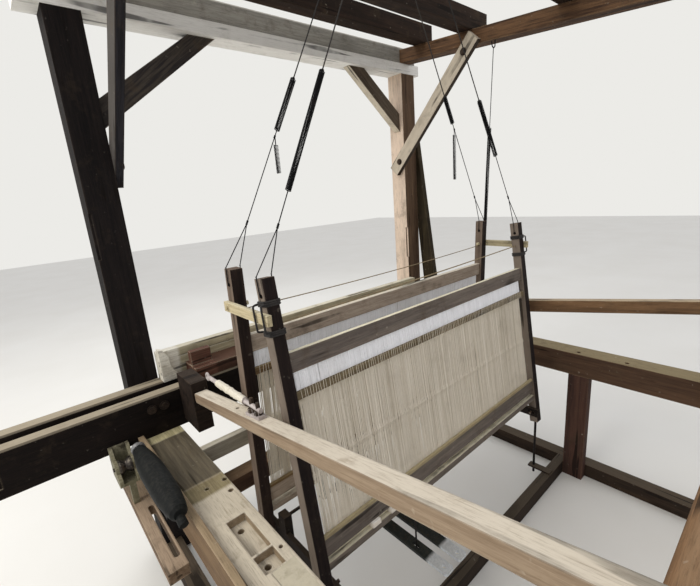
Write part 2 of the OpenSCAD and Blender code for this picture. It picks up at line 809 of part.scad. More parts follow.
// Casting with two cheeks and a back web on the cross-beam, steadied by a leg on the slotted board
module cast_bracket() {
    z = bracket_z;
    cheek = [[bracket_y0, z + 12], [bracket_y0 + 14, z], [board_y0, z], [board_y0, z + bracket_h],
        [board_y0 - 18, z + bracket_h], [wheel_y + 20, wheel_z + 16], [wheel_y + 8, wheel_z + 24],
        [wheel_y - 8, wheel_z + 24], [wheel_y - 20, wheel_z + 12], [wheel_y - 20, wheel_z - 8],
        [bracket_y0 + 8, z + 36], [bracket_y0, z + 28]];
    color([0.42, 0.40, 0.28]) difference() {
        union() {
            for (x = [bracket_x, bracket_x + bracket_w - cheek_t]) along_x(x, cheek_t, cheek);
            block(bracket_x, bracket_y0 + 14, z, bracket_w, bracket_d - 14, cheek_t);
            block(bracket_x, board_y0 - cheek_t, z, bracket_w, cheek_t, bracket_h);
            block(outrigger_x + 4, wheel_y - 4, outrigger_z, 18, 18, z - outrigger_z + 1);
        }
        bar_x(bracket_x - 1, wheel_y, wheel_z, wheel_axle_r + run_gap, bracket_w + 2);
    }
}

// Grooved wheel between the cheeks, on its own axle
module bracket_roller() {
    w = bracket_w - 2 * cheek_t - 2 * side_gap;
    color([0.35, 0.34, 0.33]) translate([bracket_x + cheek_t + side_gap, wheel_y, wheel_z])
        rotate([0, 90, 0]) union() {
            rotate_extrude($fn = 48) polygon([[0, 0], [wheel_r, 0], [wheel_r, 6], [wheel_r - 8, w / 2],
                [wheel_r, w - 6], [wheel_r, w], [0, w]]);
            translate([0, 0, -cheek_t - side_gap - 5])
                cylinder(h = bracket_w + 10, r = wheel_axle_r, $fn = 32);
        }
}

// Motor: a tapering black tube with a knob at its front end, on two feet fixed to the side board
module motor() {
    foot_x = motor_x - 10;
    foot_w = rail_l0 - board_t - foot_x;
    r = motor_r;
    l = motor_l;
    color([0.09, 0.09, 0.10]) difference() {
        union() {
            translate([motor_x, motor_y, motor_z]) rotate([-90, 0, 0]) rotate_extrude($fn = 64)
                polygon([[0, 0], [r - 18, 0], [r - 11, 9], [r - 7, 30], [r - 1.5, 80], [r, 120], [r, l - 130],
                    [r - 3, l - 70], [r - 9, l - 22], [r - 12, l], [0, l]]);
            rod([motor_x, motor_y + 14, motor_z - 5], [motor_x, motor_y - 20, motor_z - 17], 22, 24);
            for (y = [motor_y + 105, motor_y + l - 90])
                block(foot_x, y, rail_z - 30, foot_w, 24, motor_z - rail_z + 30);
        }
        bar_y(motor_x, motor_y + motor_l - 70, motor_z, shaft_r + run_gap, 71);
    }
}

module motor_shaft() {
    y = motor_y + motor_l;
    color([0.45, 0.45, 0.46]) translate([motor_x, y - 68, motor_z]) rotate([-90, 0, 0])
        rotate_extrude($fn = 48) polygon([[0, 0], [shaft_r, 0], [shaft_r, 76], [20, 76], [20, 79],
            [15, 84], [15, 88], [20, 93], [20, 96], [shaft_r, 96], [shaft_r, 102], [0, 102]]);
}

groove_deep = 4;

// Roller with a groove for each pair of cords, and its axle
module harness_roller() {
    l = roller_l;
    m = l / 2;
    r = roller_r;
    g = roller_r - groove_deep;
    half = groove_half;
    color([0.55, 0.42, 0.28]) translate([roller_x - m, roller_y, roller_z]) rotate([0, 90, 0]) union() {
        rotate_extrude($fn = 64) polygon([[0, 0], [r - 3, 0], [r, 3],
            [r, m - groove_x - half - 5], [g, m - groove_x - half], [g, m - groove_x + half],
            [r, m - groove_x + half + 5], [r, m + groove_x - half - 5], [g, m + groove_x - half],
            [g, m + groove_x + half], [r, m + groove_x + half + 5], [r, l - 3], [r - 3, l], [0, l]]);
        translate([0, 0, -block_t - 16]) cylinder(h = l + 2 * block_t + 32, r = roller_axle_r, $fn = 32);
    }
}

// Places a piece drawn upright into the lean of a heald frame
module leaned(foot_y, lean) {
    translate([heald_x, foot_y, heald_foot_z]) rotate([-lean, 0, 0]) children();
}

// Heald posts with the slat peg hole, the link pin hole and the old top mortise
module heald_posts(foot_y, lean, pinned) {
    leaned(foot_y, lean) for (x = [0, heald_w - heald_post]) difference() {
        block(x, -heald_post / 2, 0, heald_post, heald_post, heald_h);
        translate([x - 1, 0, heald_h - 42]) rotate([0, 90, 0]) cylinder(h = heald_post + 2, r = 6, $fn = 24);
        if (pinned) translate([x - 1, 0, (slat_z - heald_foot_z) / cos(lean)]) rotate([0, 90, 0])
            cylinder(h = heald_post + 2, r = slat_pin_r + run_gap, $fn = 32);
        if (pinned) translate([x - 1, 0, (link_z - heald_foot_z) / cos(lean)]) rotate([0, 90, 0])
            cylinder(h = heald_post + 2, r = link_pin_r + run_gap, $fn = 32);
    }
}

inner = heald_w - 2 * heald_post;

// Top rail, bottom rail and the pale-topped bar under it
module heald_rails(foot_y, lean) {
    low_z = heald_low_z - heald_rail_h;
    leaned(foot_y, lean) for (p = [[heald_rail_z, heald_rail_h, heald_rail_t],
        [low_z, heald_rail_h, heald_rail_t], [low_z - slat_drop, low_slat_h, low_slat_d]])
        block(heald_post, -p[2] / 2, p[0], inner, p[2], p[1]);
}

rod_d = 9;
upper_rod_z = heald_rail_z - 66;

// The two flat rods that spread the strings, on the front face of the mat
module heald_rods(foot_y, lean) {
    leaned(foot_y, lean) for (p = [[upper_rod_z - 4, 20], [heald_low_z + 1, 9]])
        block(heald_post, -mat_t / 2 - rod_d, p[0], inner, rod_d, p[1]);
}

// One wall of strings: a ridge for each bundle, with slits between them
module heald_strings(foot_y, lean) {
    x0 = heald_post + 12;
    x1 = heald_w - heald_post - 24;
    z0 = heald_low_z;
    h = heald_rail_z - heald_low_z;
    pitch = (x1 - x0) / (mat_gaps + 1);
    slit = min(5, pitch / 3);
    leaned(foot_y, lean) difference() {
        block(x0, -mat_t / 2, z0, x1 - x0, mat_t, h);
        for (i = [1 : mat_gaps])
            block(x0 + i * pitch - slit / 2, -mat_t / 2 - 1, z0 + 30, slit, mat_t + 2, upper_rod_z - z0 - 40);
    }
}

// The front posts carry the pins of the links and are bored for the tie rods
module front_heald_posts() {
    reach = link_t + side_gap + 14;
    color([0.28, 0.22, 0.18]) difference() {
        union() {
            heald_posts(front_foot_y, front_lean, false);
            bar_x(heald_x + heald_post - 1, link_front_y, link_z, link_pin_r, reach + 1);
            bar_x(heald_x1 - heald_post - reach, link_front_y, link_z, link_pin_r, reach + 1);
        }
        for (x = tie_rod_x) translate([x, tie_rod_y, 0]) cylinder(h = tie_rod_top, r = tie_rod_r + rest_gap, $fn = 24);
    }
}

module front_heald_rails() {
    color([0.30, 0.25, 0.20]) heald_rails(front_foot_y, front_lean);
}

module front_heald_rods() {
    color([0.50, 0.46, 0.32]) heald_rods(front_foot_y, front_lean);
}

module front_heald_strings() {
    color([0.80, 0.77, 0.69]) heald_strings(front_foot_y, front_lean);
}

module rear_heald_posts() {
    color([0.26, 0.21, 0.18]) heald_posts(rear_foot_y, rear_lean, true);
}

module rear_heald_rails() {
    color([0.60, 0.54, 0.46]) heald_rails(rear_foot_y, rear_lean);
}

module rear_heald_rods() {
    color([0.50, 0.46, 0.32]) heald_rods(rear_foot_y, rear_lean);
}

module rear_heald_strings() {
    color([0.82, 0.79, 0.71]) heald_strings(rear_foot_y, rear_lean);
}

lash_d = 7;
lash_gap = 17;

// Cord wraps round the front posts, above and below the slats, with the strands that cross them
module lashings() {
    out = heald_post / 2 + lash_d;
    module wrap(cz) {
        difference() {
            block(-out, -out, cz - lash_d / 2, 2 * out, 2 * out, lash_d);
            block(-heald_post / 2, -heald_post / 2, cz - lash_d, heald_post, heald_post, 2 * lash_d);
        }
    }
    zc = (slat_z - heald_foot_z) / cos(front_lean);
    span = slat_h / 2 + lash_gap + lash_d / 2;
    color([0.10, 0.09, 0.09]) leaned(front_foot_y, front_lean) for (side = [0, 1]) {
        sx = side == 0 ? -1 : 1;
        cx = side == 0 ? heald_post / 2 : heald_w - heald_post / 2;
        translate([cx, 0, 0]) {
            wrap(zc - span);
            wrap(zc + span);
            for (y = [-heald_post / 2 - lash_d / 2, heald_post / 2 + lash_d / 2])
                block(sx > 0 ? heald_post / 2 + slat_t + 1 : -heald_post / 2 - slat_t - 1 - lash_d,
                    y - lash_d / 2, zc - span, lash_d, lash_d, 2 * span);
            for (z = [zc - span, zc + span]) for (y = [-heald_post / 2 - lash_d / 2, heald_post / 2 + lash_d / 2])
                block(sx > 0 ? heald_post / 2 : -heald_post / 2 - slat_t - 1 - lash_d,
                    y - lash_d / 2, z - lash_d / 2, slat_t + 1 + lash_d, lash_d, lash_d);
        }
    }
}

tie_rod_z = 32;
tie_rod_top = heald_foot_z + 26;
tie_rod_x = [heald_x + heald_post / 2, heald_x1 - heald_post / 2];

// Rods that steady the front frame in the lugs of the floor tie
module tie_rods() {
    color([0.12, 0.12, 0.12]) for (x = tie_rod_x)
        translate([x, tie_rod_y, tie_rod_z]) cylinder(h = tie_rod_top - tie_rod_z, r = tie_rod_r, $fn = 24);
}

// Slats outside the posts, each with its peg in the rear post
module top_slats() {
    y0 = slat_front_y - heald_post / 2 - 14;
    y1 = slat_pin_y + heald_post / 2 + 4;
    peg = slat_t + heald_post + 12;
    color([0.74, 0.70, 0.56]) union() {
        block(heald_x - slat_t - side_gap, y0, slat_z - slat_h / 2, slat_t, y1 - y0, slat_h);
        bar_x(heald_x - slat_t - side_gap - 6, slat_pin_y, slat_z, slat_pin_r, peg + 6);
        block(heald_x1 + side_gap, y0, slat_z - slat_h / 2, slat_t, y1 - y0, slat_h);
        bar_x(heald_x1 + side_gap + slat_t + 6 - peg - 6, slat_pin_y, slat_z, slat_pin_r, peg + 6);
    }
}

// Links near the feet: pinned in the rear post, slotted over the front post's pin
module bottom_links() {
    y0 = link_front_y - link_slot / 2 - 16;
    y1 = link_pin_y + 26;
    pin = link_t + side_gap + heald_post - 2;
    hub_t = 12;
    hub_y = link_pin_y - 84;
    // dir is the side on which the hub and its stub pin stand
    module link(x, dir) {
        difference() {
            block(x, y0, link_z - link_h / 2, link_t, y1 - y0, link_h);
            slot_x(x - 1, link_front_y, link_z, link_pin_r + 1.5, link_slot + 3, link_t + 2);
        }
        block(dir > 0 ? x : x - hub_t, hub_y, link_z - link_h / 2 + 4, link_t + hub_t, 36, 88);
        bar_x(dir > 0 ? x + link_t + hub_t - 1 : x - hub_t - 44, hub_y + 18, link_z + 62, 5, 45);
    }
    color([0.10, 0.09, 0.08]) union() {
        link(heald_x + heald_post + side_gap, 1);
        bar_x(heald_x + 2, link_pin_y, link_z, link_pin_r, pin + 14);
        link(heald_x1 - heald_post - side_gap - link_t, -1);
        bar_x(heald_x1 - 2 - pin - 14, link_pin_y, link_z, link_pin_r, pin + 14);
    }
}

// A coil spring drawn as a ribbed bar from one point to another
module coil(a, b, d) {
    v = b - a;
    l = norm(v);
    n = 7;
    p = l / n;
    function rib(i) = [[d * 0.32, i * p], [d / 2, i * p + p * 0.3], [d / 2, i * p + p * 0.7]];
    translate(a) rotate([0, acos(v.z / l), atan2(v.y, v.x)]) rotate_extrude($fn = 16)
        polygon(concat([[0, 0]], [for (i = [0 : n - 1]) each rib(i)], [[d * 0.32, l], [0, l]]));
}

cord_slack = 0.3;
hole_z = heald_h - 42;

// A small twist of wire that joins the wires at a corner
module twist(x, z) {
    translate([x, 2.5, z]) rotate([90, 0, 0]) cylinder(h = 5, d = wire_d + 2, $fn = 12);
}

// Wires down both sides of a post's head and through its hole
module head_loop(foot_y, lean, x) {
    w = heald_post / 2 + wire_d / 2 + 1.4;
    leaned(foot_y, lean) translate([x, 0, 0]) {
        rod([-w, 0, hole_z], [w, 0, hole_z], wire_d);
        for (s = [-1, 1]) {
            rod([s * w, 0, heald_h + 5], [s * w, 0, hole_z], wire_d);
            twist(s * w, heald_h + 5);
            twist(s * w, hole_z);
        }
    }
}

// Middle of a post's head, place of its cord on the roller, and the tip of its wire loop
function line_x(side) = heald_post / 2 + (side > 0 ? heald_w - heald_post : 0);
function head_at(foot_y, lean, side) = [heald_x + line_x(side),
    foot_y + (heald_h + 5) * sin(lean), heald_foot_z + (heald_h + 5) * cos(lean)];
function cord_at(side, face) = [roller_x + side * groove_x,
    roller_y + face * (roller_r - groove_deep + wire_d / 2 + cord_slack), roller_z];
function tip_at(foot_y, lean, side, face) = let (h = head_at(foot_y, lean, side), v = cord_at(side, face) - h)
    h + v * loop_l / norm(v);

// A turned knot of wire where the lines of the harness meet
module knot(p) {
    translate(p - [0, 3, 0]) rotate([-90, 0, 0]) cylinder(h = 6, d = wire_d + 3.6, $fn = 10);
}

// One line of the harness: cord, spring, wire and loop, from the roller to a heald post
module harness_line(foot_y, lean, side, face, spring) {
    w = heald_post / 2 + wire_d / 2 + 1.4;
    head = head_at(foot_y, lean, side);
    start = cord_at(side, face);
    end = tip_at(foot_y, lean, side, face);
    function at(t) = start + (end - start) * t;
    rod(start, at(spring[0] + 0.01), wire_d);
    coil(at(spring[0]), at(spring[1]), spring_d);
    rod(at(spring[1] - 0.01), end, wire_d);
    knot(end);
    for (s = [-1, 1]) rod(end + [0, s * 1.2, 0], head + [s * w, 0, 0], wire_d);
    head_loop(foot_y, lean, line_x(side));
}

// A spring left hanging from a harness line
module loose_spring(foot_y, lean, side, face, t, l) {
    start = cord_at(side, face);
    p = start + (tip_at(foot_y, lean, side, face) - start) * t;
    knot(p);
    rod(p, p - [0, 0, 24], wire_d);
    coil(p - [0, 0, 20], p - [0, 0, l], spring_d - 2);
}

front_springs = [[0.63, 0.92], [0.64, 0.835]];
rear_springs = [[0.62, 0.76], [0.605, 0.70]];
loose_springs = [[0.775, 95], [0.72, 190]];

module front_harness() {
    color([0.14, 0.14, 0.15]) union() {
        harness_line(front_foot_y, front_lean, -1, -1, front_springs[0]);
        harness_line(front_foot_y, front_lean, 1, -1, front_springs[1]);
    }
}

module rear_harness() {
    color([0.14, 0.14, 0.15]) union() {
        harness_line(rear_foot_y, rear_lean, -1, 1, rear_springs[0]);
        harness_line(rear_foot_y, rear_lean, 1, 1, rear_springs[1]);
        loose_spring(rear_foot_y, rear_lean, -1, 1, loose_springs[0][0], loose_springs[0][1]);
        loose_spring(rear_foot_y, rear_lean, 1, 1, loose_springs[1][0], loose_springs[1][1]);
    }
}

// Hook, cord, spring and wire from the right top beam to the slat's peg
module slat_spring() {
    hook_y = cross_mid_y - 105;
    hook_z = top_under(hook_y);
    a = [right_top_x - 3, hook_y, hook_z - 24];
    b = [heald_x1 + side_gap + slat_t + 3, slat_pin_y, slat_z + slat_pin_r + wire_d];
    function at(t) = a + (b - a) * t;
    color([0.12, 0.12, 0.13]) union() {
        rod([right_top_x + 8, hook_y, hook_z - 0.2], [right_top_x + 8, hook_y, hook_z - 14], 5);
        rod([right_top_x + 8, hook_y, hook_z - 12], [right_top_x - 3, hook_y, hook_z - 22], 5);
        rod([right_top_x - 3, hook_y, hook_z - 20], [right_top_x - 3, hook_y, hook_z - 34], 5);
        rod(at(0), at(0.41), wire_d);
        coil(at(0.40), at(0.92), spring_d);
        rod(at(0.91), b, wire_d);
        translate([b.x, slat_pin_y, slat_z]) rotate([0, 90, 0]) rotate_extrude($fn = 24)
            translate([slat_pin_r + wire_d / 2 + cord_slack, 0]) circle(d = wire_d, $fn = 12);
    }
}

post_rear_left();
post_rear_right();
post_front_left();
post_front_right();
side_rail_left();
side_board_left();
pocket_plate();
side_rail_right();
middle_legs();
sills();
floor_tie();
front_tie();
grey_tie_board();
dark_tie_timber();
outrigger();
cross_board_front();
cross_board_rear();
cross_beam_blocks();
pale_board();
cap_timber();
sloping_rail_left();
sloping_rail_right();
top_plank();
top_rear_beam();
top_side_beams();
top_cross_timbers();
roller_bearers();
roller_blocks();
knee_braces();
side_braces();
prop_right();
coach_screws();
rail_stick();
lever_pivot();
warp_bearings();
harness_roller();
front_heald_posts();
front_heald_rails();
front_heald_rods();
front_heald_strings();
rear_heald_posts();
rear_heald_rails();
rear_heald_rods();
rear_heald_strings();
lashings();
tie_rods();
top_slats();
bottom_links();
front_harness();
rear_harness();
slat_spring();
front_pull_rod();
rear_pull_rod();
front_lever();
rear_lever();
warp_beam();
cast_bracket();
bracket_roller();
motor();
motor_shaft();
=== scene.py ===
import math
import random

import bmesh
import bpy
from mathutils import Matrix, Vector


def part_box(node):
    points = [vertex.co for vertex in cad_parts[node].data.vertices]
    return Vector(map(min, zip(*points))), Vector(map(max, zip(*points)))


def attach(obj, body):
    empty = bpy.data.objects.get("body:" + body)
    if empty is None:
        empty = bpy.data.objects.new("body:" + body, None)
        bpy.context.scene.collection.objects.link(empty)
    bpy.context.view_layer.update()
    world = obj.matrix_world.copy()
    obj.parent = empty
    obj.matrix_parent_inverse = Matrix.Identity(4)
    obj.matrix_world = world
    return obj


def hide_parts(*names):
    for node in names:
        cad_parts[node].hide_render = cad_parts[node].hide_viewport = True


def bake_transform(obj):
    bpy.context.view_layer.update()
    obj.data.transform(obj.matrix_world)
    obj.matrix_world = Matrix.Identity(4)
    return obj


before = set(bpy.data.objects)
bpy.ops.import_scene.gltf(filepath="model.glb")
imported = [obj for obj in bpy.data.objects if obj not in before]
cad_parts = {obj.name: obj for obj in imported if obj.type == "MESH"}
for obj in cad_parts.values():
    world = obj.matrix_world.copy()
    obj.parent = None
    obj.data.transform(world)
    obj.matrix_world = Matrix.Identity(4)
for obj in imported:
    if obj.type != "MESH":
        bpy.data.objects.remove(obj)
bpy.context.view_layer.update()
print("frame loaded:", len(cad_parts), "nodes")


def newObject(name, data):
    made = bpy.data.objects.new(name, data)
    bpy.context.scene.collection.objects.link(made)
    return made


# Camera: standing at the loom's left front corner, looking across it and slightly down

cameraSet = {
    "place": (-0.855, -0.7525, 1.360),
    "right": (0.7472294, -0.6603364, -0.0748601),
    "down": (-0.2164014, -0.1352645, -0.9668888),
    "ahead": (0.6283459, 0.7386876, -0.2439714),
    "lens": 20.475,
    "sensor": 36,
    "clip": (0.02, 60),
}


def makeCamera(c):
    data = bpy.data.cameras.new("camera")
    data.lens = c["lens"]
    data.sensor_width = c["sensor"]
    data.clip_start, data.clip_end = c["clip"]
    cam = newObject("camera", data)
    right, down, ahead = Vector(c["right"]), Vector(c["down"]), Vector(c["ahead"])
    turn = Matrix((right, -down, -ahead)).transposed().to_4x4()
    cam.matrix_world = Matrix.Translation(c["place"]) @ turn
    bpy.context.scene.camera = cam


makeCamera(cameraSet)
print("camera made")


# Shader helpers

def tint(r, g, b):  # a colour read off a screen, from 0 to 255
    straight = [((v / 255 + 0.055) / 1.055) ** 2.4 if v > 10 else v / 255 / 12.92 for v in (r, g, b)]
    return (*straight, 1.0)


class Socket:  # a node's output that can be used in sums
    def __init__(self, maker, out):
        self.maker, self.out = maker, out

    def maths(self, op, other, flip=False):
        first, second = (other, self) if flip else (self, other)
        return self.maker.add("ShaderNodeMath", {"operation": op}, {0: first, 1: second})

    def __add__(self, o): return self.maths("ADD", o)
    def __radd__(self, o): return self.maths("ADD", o)
    def __sub__(self, o): return self.maths("SUBTRACT", o)
    def __rsub__(self, o): return self.maths("SUBTRACT", o, flip=True)
    def __mul__(self, o): return self.maths("MULTIPLY", o)
    def __rmul__(self, o): return self.maths("MULTIPLY", o)


zoneBlend = 0.008  # half the width, in metres, over which a zone's colour fades at its ends


class Maker:  # adds nodes to one material
    def __init__(self, name):
        self.material = bpy.data.materials.new(name)
        self.material.use_nodes = True
        self.tree = self.material.node_tree
        self.shader = self.tree.nodes["Principled BSDF"]

    def add(self, kind, settings=None, inputs=None, out=0):
        n = self.tree.nodes.new(kind)
        for key, value in (settings or {}).items():
            setattr(n, key, value)
        for key, value in (inputs or {}).items():
            self.feed(n.inputs[key], value)
        return Socket(self, n.outputs[out])

    def feed(self, socket, value):
        if isinstance(value, Socket):
            self.tree.links.new(value.out, socket)
        else:
            socket.default_value = value

    def mix(self, a, b, mask):
        return self.add("ShaderNodeMix", {"data_type": "RGBA"}, {0: mask, 6: a, 7: b}, out=2)

    def noise(self, where, scale, detail, rough):
        return self.add("ShaderNodeTexNoise", {}, {"Vector": where, "Scale": scale, "Detail": detail,
                                                   "Roughness": rough})

    def band(self, value, low, high):  # 0 below low, 1 above high, and eased between
        return self.add("ShaderNodeMapRange", {"clamp": True, "interpolation_type": "SMOOTHSTEP"},
                        {"Value": value, "From Min": low, "From Max": high, "To Min": 0.0, "To Max": 1.0})

    def mapped(self, where, **inputs):
        return self.add("ShaderNodeMapping", {}, {"Vector": where, **inputs})

    def place(self):  # Object coordinates
        return self.add("ShaderNodeTexCoord", out=3)

    def normal(self):
        return self.add("ShaderNodeNewGeometry", out=1)

    def split(self, vector):
        parts = self.tree.nodes.new("ShaderNodeSeparateXYZ")
        self.tree.links.new(vector.out, parts.inputs[0])
        return [Socket(self, parts.outputs[i]) for i in range(3)]

    # Stretches of a piece, along one axis, that get another colour: some are the piece's own colour, and
    # some, on the levers and the left side rail, are painted light and shade
    def zones(self, colour, look, places, patch, streak):
        for axis, start, end, shade, second, ragged in look["zones"]:
            at = places[axis] + (patch - 0.5) * ragged
            inside = self.band(at, start - zoneBlend, start + zoneBlend)
            beyond = self.band(at, end - zoneBlend, end + zoneBlend)
            own = self.mix(tint(*shade), tint(*second), self.band(streak, 0.38, 0.62))
            colour = self.mix(colour, own, inside * (1.0 - beyond) * look["zoneAmount"])
        return colour

    def bump(self, height, strength, distance, **more):
        return self.add("ShaderNodeBump", {}, {"Height": height, "Strength": strength, "Distance": distance,
                                               **more})

    def finish(self, colour, rough, metal=0.0, normal=None, shine=0.5):
        self.feed(self.shader.inputs["Base Color"], colour)
        self.feed(self.shader.inputs["Roughness"], rough)
        self.feed(self.shader.inputs["Metallic"], metal)
        self.feed(self.shader.inputs["Specular IOR Level"], shine)
        if normal is not None:
            self.feed(self.shader.inputs["Normal"], normal)
        return self.material


grainScale = {"X": (1.3, 24, 24), "Y": (24, 1.3, 24), "Z": (24, 24, 1.3)}  # by the axis the grain follows

# Scale, detail and roughness of each pattern
timberNoise = {"streak": (5.0, 5.0, 0.65), "broad": (0.9, 3.0, 0.6), "fibre": (17.0, 4.0, 0.7),
               "check": (2.1, 2.0, 0.4), "speck": (60.0, 2.0, 0.5), "blotch": (13.0, 5.0, 0.7)}

# What a timber has unless its own look says otherwise
timberUsual = {"shine": 0.1, "rough": 0.62, "roughVary": 0.25, "bump": 0.45, "bumpDepth": 0.0015,
               "patchScale": 3.2, "edgeRadius": 0.006, "mirror": False, "turn": None,
               "westLight": None, "westLightAmount": 0.95, "under": None, "underAmount": 0.95, "topAmount": 0.7,
               "zones": (), "zoneAmount": 0.9, "edgeAmount": 0.55, "checks": 0.75, "grime": 0.45,
               "worn": 1.0, "fibreAmount": 0.38, "blotAmount": 0.36, "dustAmount": 0.22,
               "fibre": (62, 48, 37), "blot": (84, 70, 54), "dirt": (28, 22, 18), "crack": (18, 13, 10),
               "dust": (205, 195, 175)}


# Old timber: streaks along the grain, checks, grime in patches, rubbed edges, and tops made paler by dust
# and by painted light from above
def timber(name, look):
    look = {**timberUsual, **look}
    m = Maker(name)
    where = m.place()
    places = m.split(where)
    if look["mirror"]:  # the grain of a pair of braces leans both ways
        where = m.add("ShaderNodeVectorMath", {"operation": "ABSOLUTE"}, {0: where})
        where = m.add("ShaderNodeVectorMath", {"operation": "MULTIPLY"}, {0: where, 1: (-1, 1, 1)})
    if look["turn"]:
        where = m.mapped(where, Rotation=look["turn"])
    along = m.mapped(where, Scale=grainScale[look["axis"]])
    streak = m.noise(along, *timberNoise["streak"])
    broad = m.noise(along, *timberNoise["broad"])
    fibre = m.band(m.noise(along, *timberNoise["fibre"]), 0.48, 0.70)
    patch = m.noise(where, look["patchScale"], 4.0, 0.6)
    speck = m.noise(where, *timberNoise["speck"])
    blotch = m.band(m.noise(where, *timberNoise["blotch"]), 0.52, 0.70)
    check = m.band(m.noise(along, *timberNoise["check"]), 0.60, 0.66) * m.band(patch, 0.45, 0.6)

    sharp = m.normal()
    soft = m.add("ShaderNodeBevel", {"samples": 4}, {"Radius": look["edgeRadius"]})
    same = m.add("ShaderNodeVectorMath", {"operation": "DOT_PRODUCT"}, {0: soft, 1: sharp}, out=1)
    edge = m.band(1.0 - same, 0.01, 0.16) * m.band(streak * 0.6 + patch * 0.6, 0.42, 0.72)
    facesX, _, facesZ = m.split(sharp)

    grain = m.band(streak * 0.55 + broad * 0.5, 0.40, 0.68)
    colour = m.mix(tint(*look["side"]), tint(*look["streak"]), grain)
    if look["westLight"]:  # painted light on the side towards the loom's left
        westLight = m.band(facesX * -1.0, 0.55, 0.9) * m.band(broad * 0.5 + patch * 0.5, 0.22, 0.52)
        colour = m.mix(colour, tint(*look["westLight"]), westLight * look["westLightAmount"])
    # Painted light and shade on the undersides: paler on the knee braces, darker on the side braces
    if look["under"]:
        colour = m.mix(colour, tint(*look["under"]), m.band(facesZ * -1.0, 0.2, 0.5) * look["underAmount"])
    # Painted light from above, together with dust, makes the tops paler
    top = m.band(facesZ, 0.55, 0.9) * m.band(patch * 0.45 + streak * 0.55, 0.22, 0.50)
    colour = m.mix(colour, tint(*look["top"]), top * look["topAmount"])
    colour = m.zones(colour, look, places, patch, streak)
    colour = m.mix(colour, tint(*look["fibre"]), fibre * (look["fibreAmount"] * look["worn"]))
    colour = m.mix(colour, tint(*look["blot"]), blotch * (look["blotAmount"] * look["worn"]))
    colour = m.mix(colour, tint(*look["dirt"]), m.band(patch, 0.55, 0.75) * look["grime"])
    colour = m.mix(colour, tint(*look["edge"]), edge * look["edgeAmount"])
    colour = m.mix(colour, tint(*look["crack"]), check * look["checks"])
    dusty = m.band(speck, 0.68, 0.78) * (look["dustAmount"] * look["worn"])
    colour = m.mix(colour, tint(*look["dust"]), dusty)
    height = streak * 0.5 - check + speck * 0.15 - fibre * 0.35
    bump = m.bump(height, look["bump"], look["bumpDepth"], Normal=soft)
    return m.finish(colour, look["rough"] + streak * look["roughVary"], normal=bump, shine=look["shine"])


metalUsual = {"shine": 0.5, "roughVary": 0.25, "bump": 0.3, "bumpDepth": 0.0008, "metallic": 0.9,
              "patchScale": 22.0, "fineScale": 140.0, "rusty": 0.4, "dust": 0.3,
              "dustColour": (150, 140, 120), "zones": (), "zoneAmount": 1.0}


# Bare or painted metal with dust above and rust or chips in patches
def metal(name, look):
    look = {**metalUsual, **look}
    m = Maker(name)
    where = m.place()
    places = m.split(where)
    patch = m.noise(where, look["patchScale"], 4.0, 0.6)
    fine = m.noise(where, look["fineScale"], 3.0, 0.6)
    facesZ = m.split(m.normal())[2]
    colour = m.mix(tint(*look["base"]), tint(*look["second"]), m.band(fine * 0.4 + patch * 0.6, 0.42, 0.62))
    colour = m.mix(colour, tint(*look["rust"]), m.band(patch, 0.56, 0.68) * look["rusty"])
    dusty = m.band(facesZ, 0.4, 0.95) * m.band(fine, 0.4, 0.7) * look["dust"]
    colour = m.mix(colour, tint(*look["dustColour"]), dusty)
    colour = m.zones(colour, look, places, patch, fine)
    bump = m.bump(fine * 0.5 + patch, look["bump"], look["bumpDepth"])
    rough = look["rough"] + patch * look["roughVary"]
    return m.finish(colour, rough, look["metallic"], bump, look["shine"])


twineUsual = {"patchScale": 7.0, "lean": (0, 0.6, 0), "strand": (600, 600, 350), "bars": (70, 2, 2),
              "rough": 0.9, "bump": 0.25, "bumpDepth": 0.0006}


# Twine and cord: a fine twist and uneven dirt
def twine(name, look):
    look = {**twineUsual, **look}
    m = Maker(name)
    where = m.place()
    strand = m.noise(m.mapped(where, Rotation=look["lean"], Scale=look["strand"]), 1.0, 1.0, 0.5)
    patch = m.noise(where, look["patchScale"], 4.0, 0.6)
    bars = m.noise(m.mapped(where, Scale=look["bars"]), 1.0, 2.0, 0.6)
    mottle = m.band(bars * 0.6 + strand * 0.4, 0.35, 0.68)
    colour = m.mix(tint(*look["base"]), tint(*look["second"]), mottle)
    colour = m.mix(colour, tint(*look["dirt"]), m.band(patch, 0.50, 0.72) * look["dirty"])
    return m.finish(colour, look["rough"], normal=m.bump(strand, look["bump"], look["bumpDepth"]))


# Looks: colours as read off a screen. A zone is its axis, start, end, two colours and its raggedness

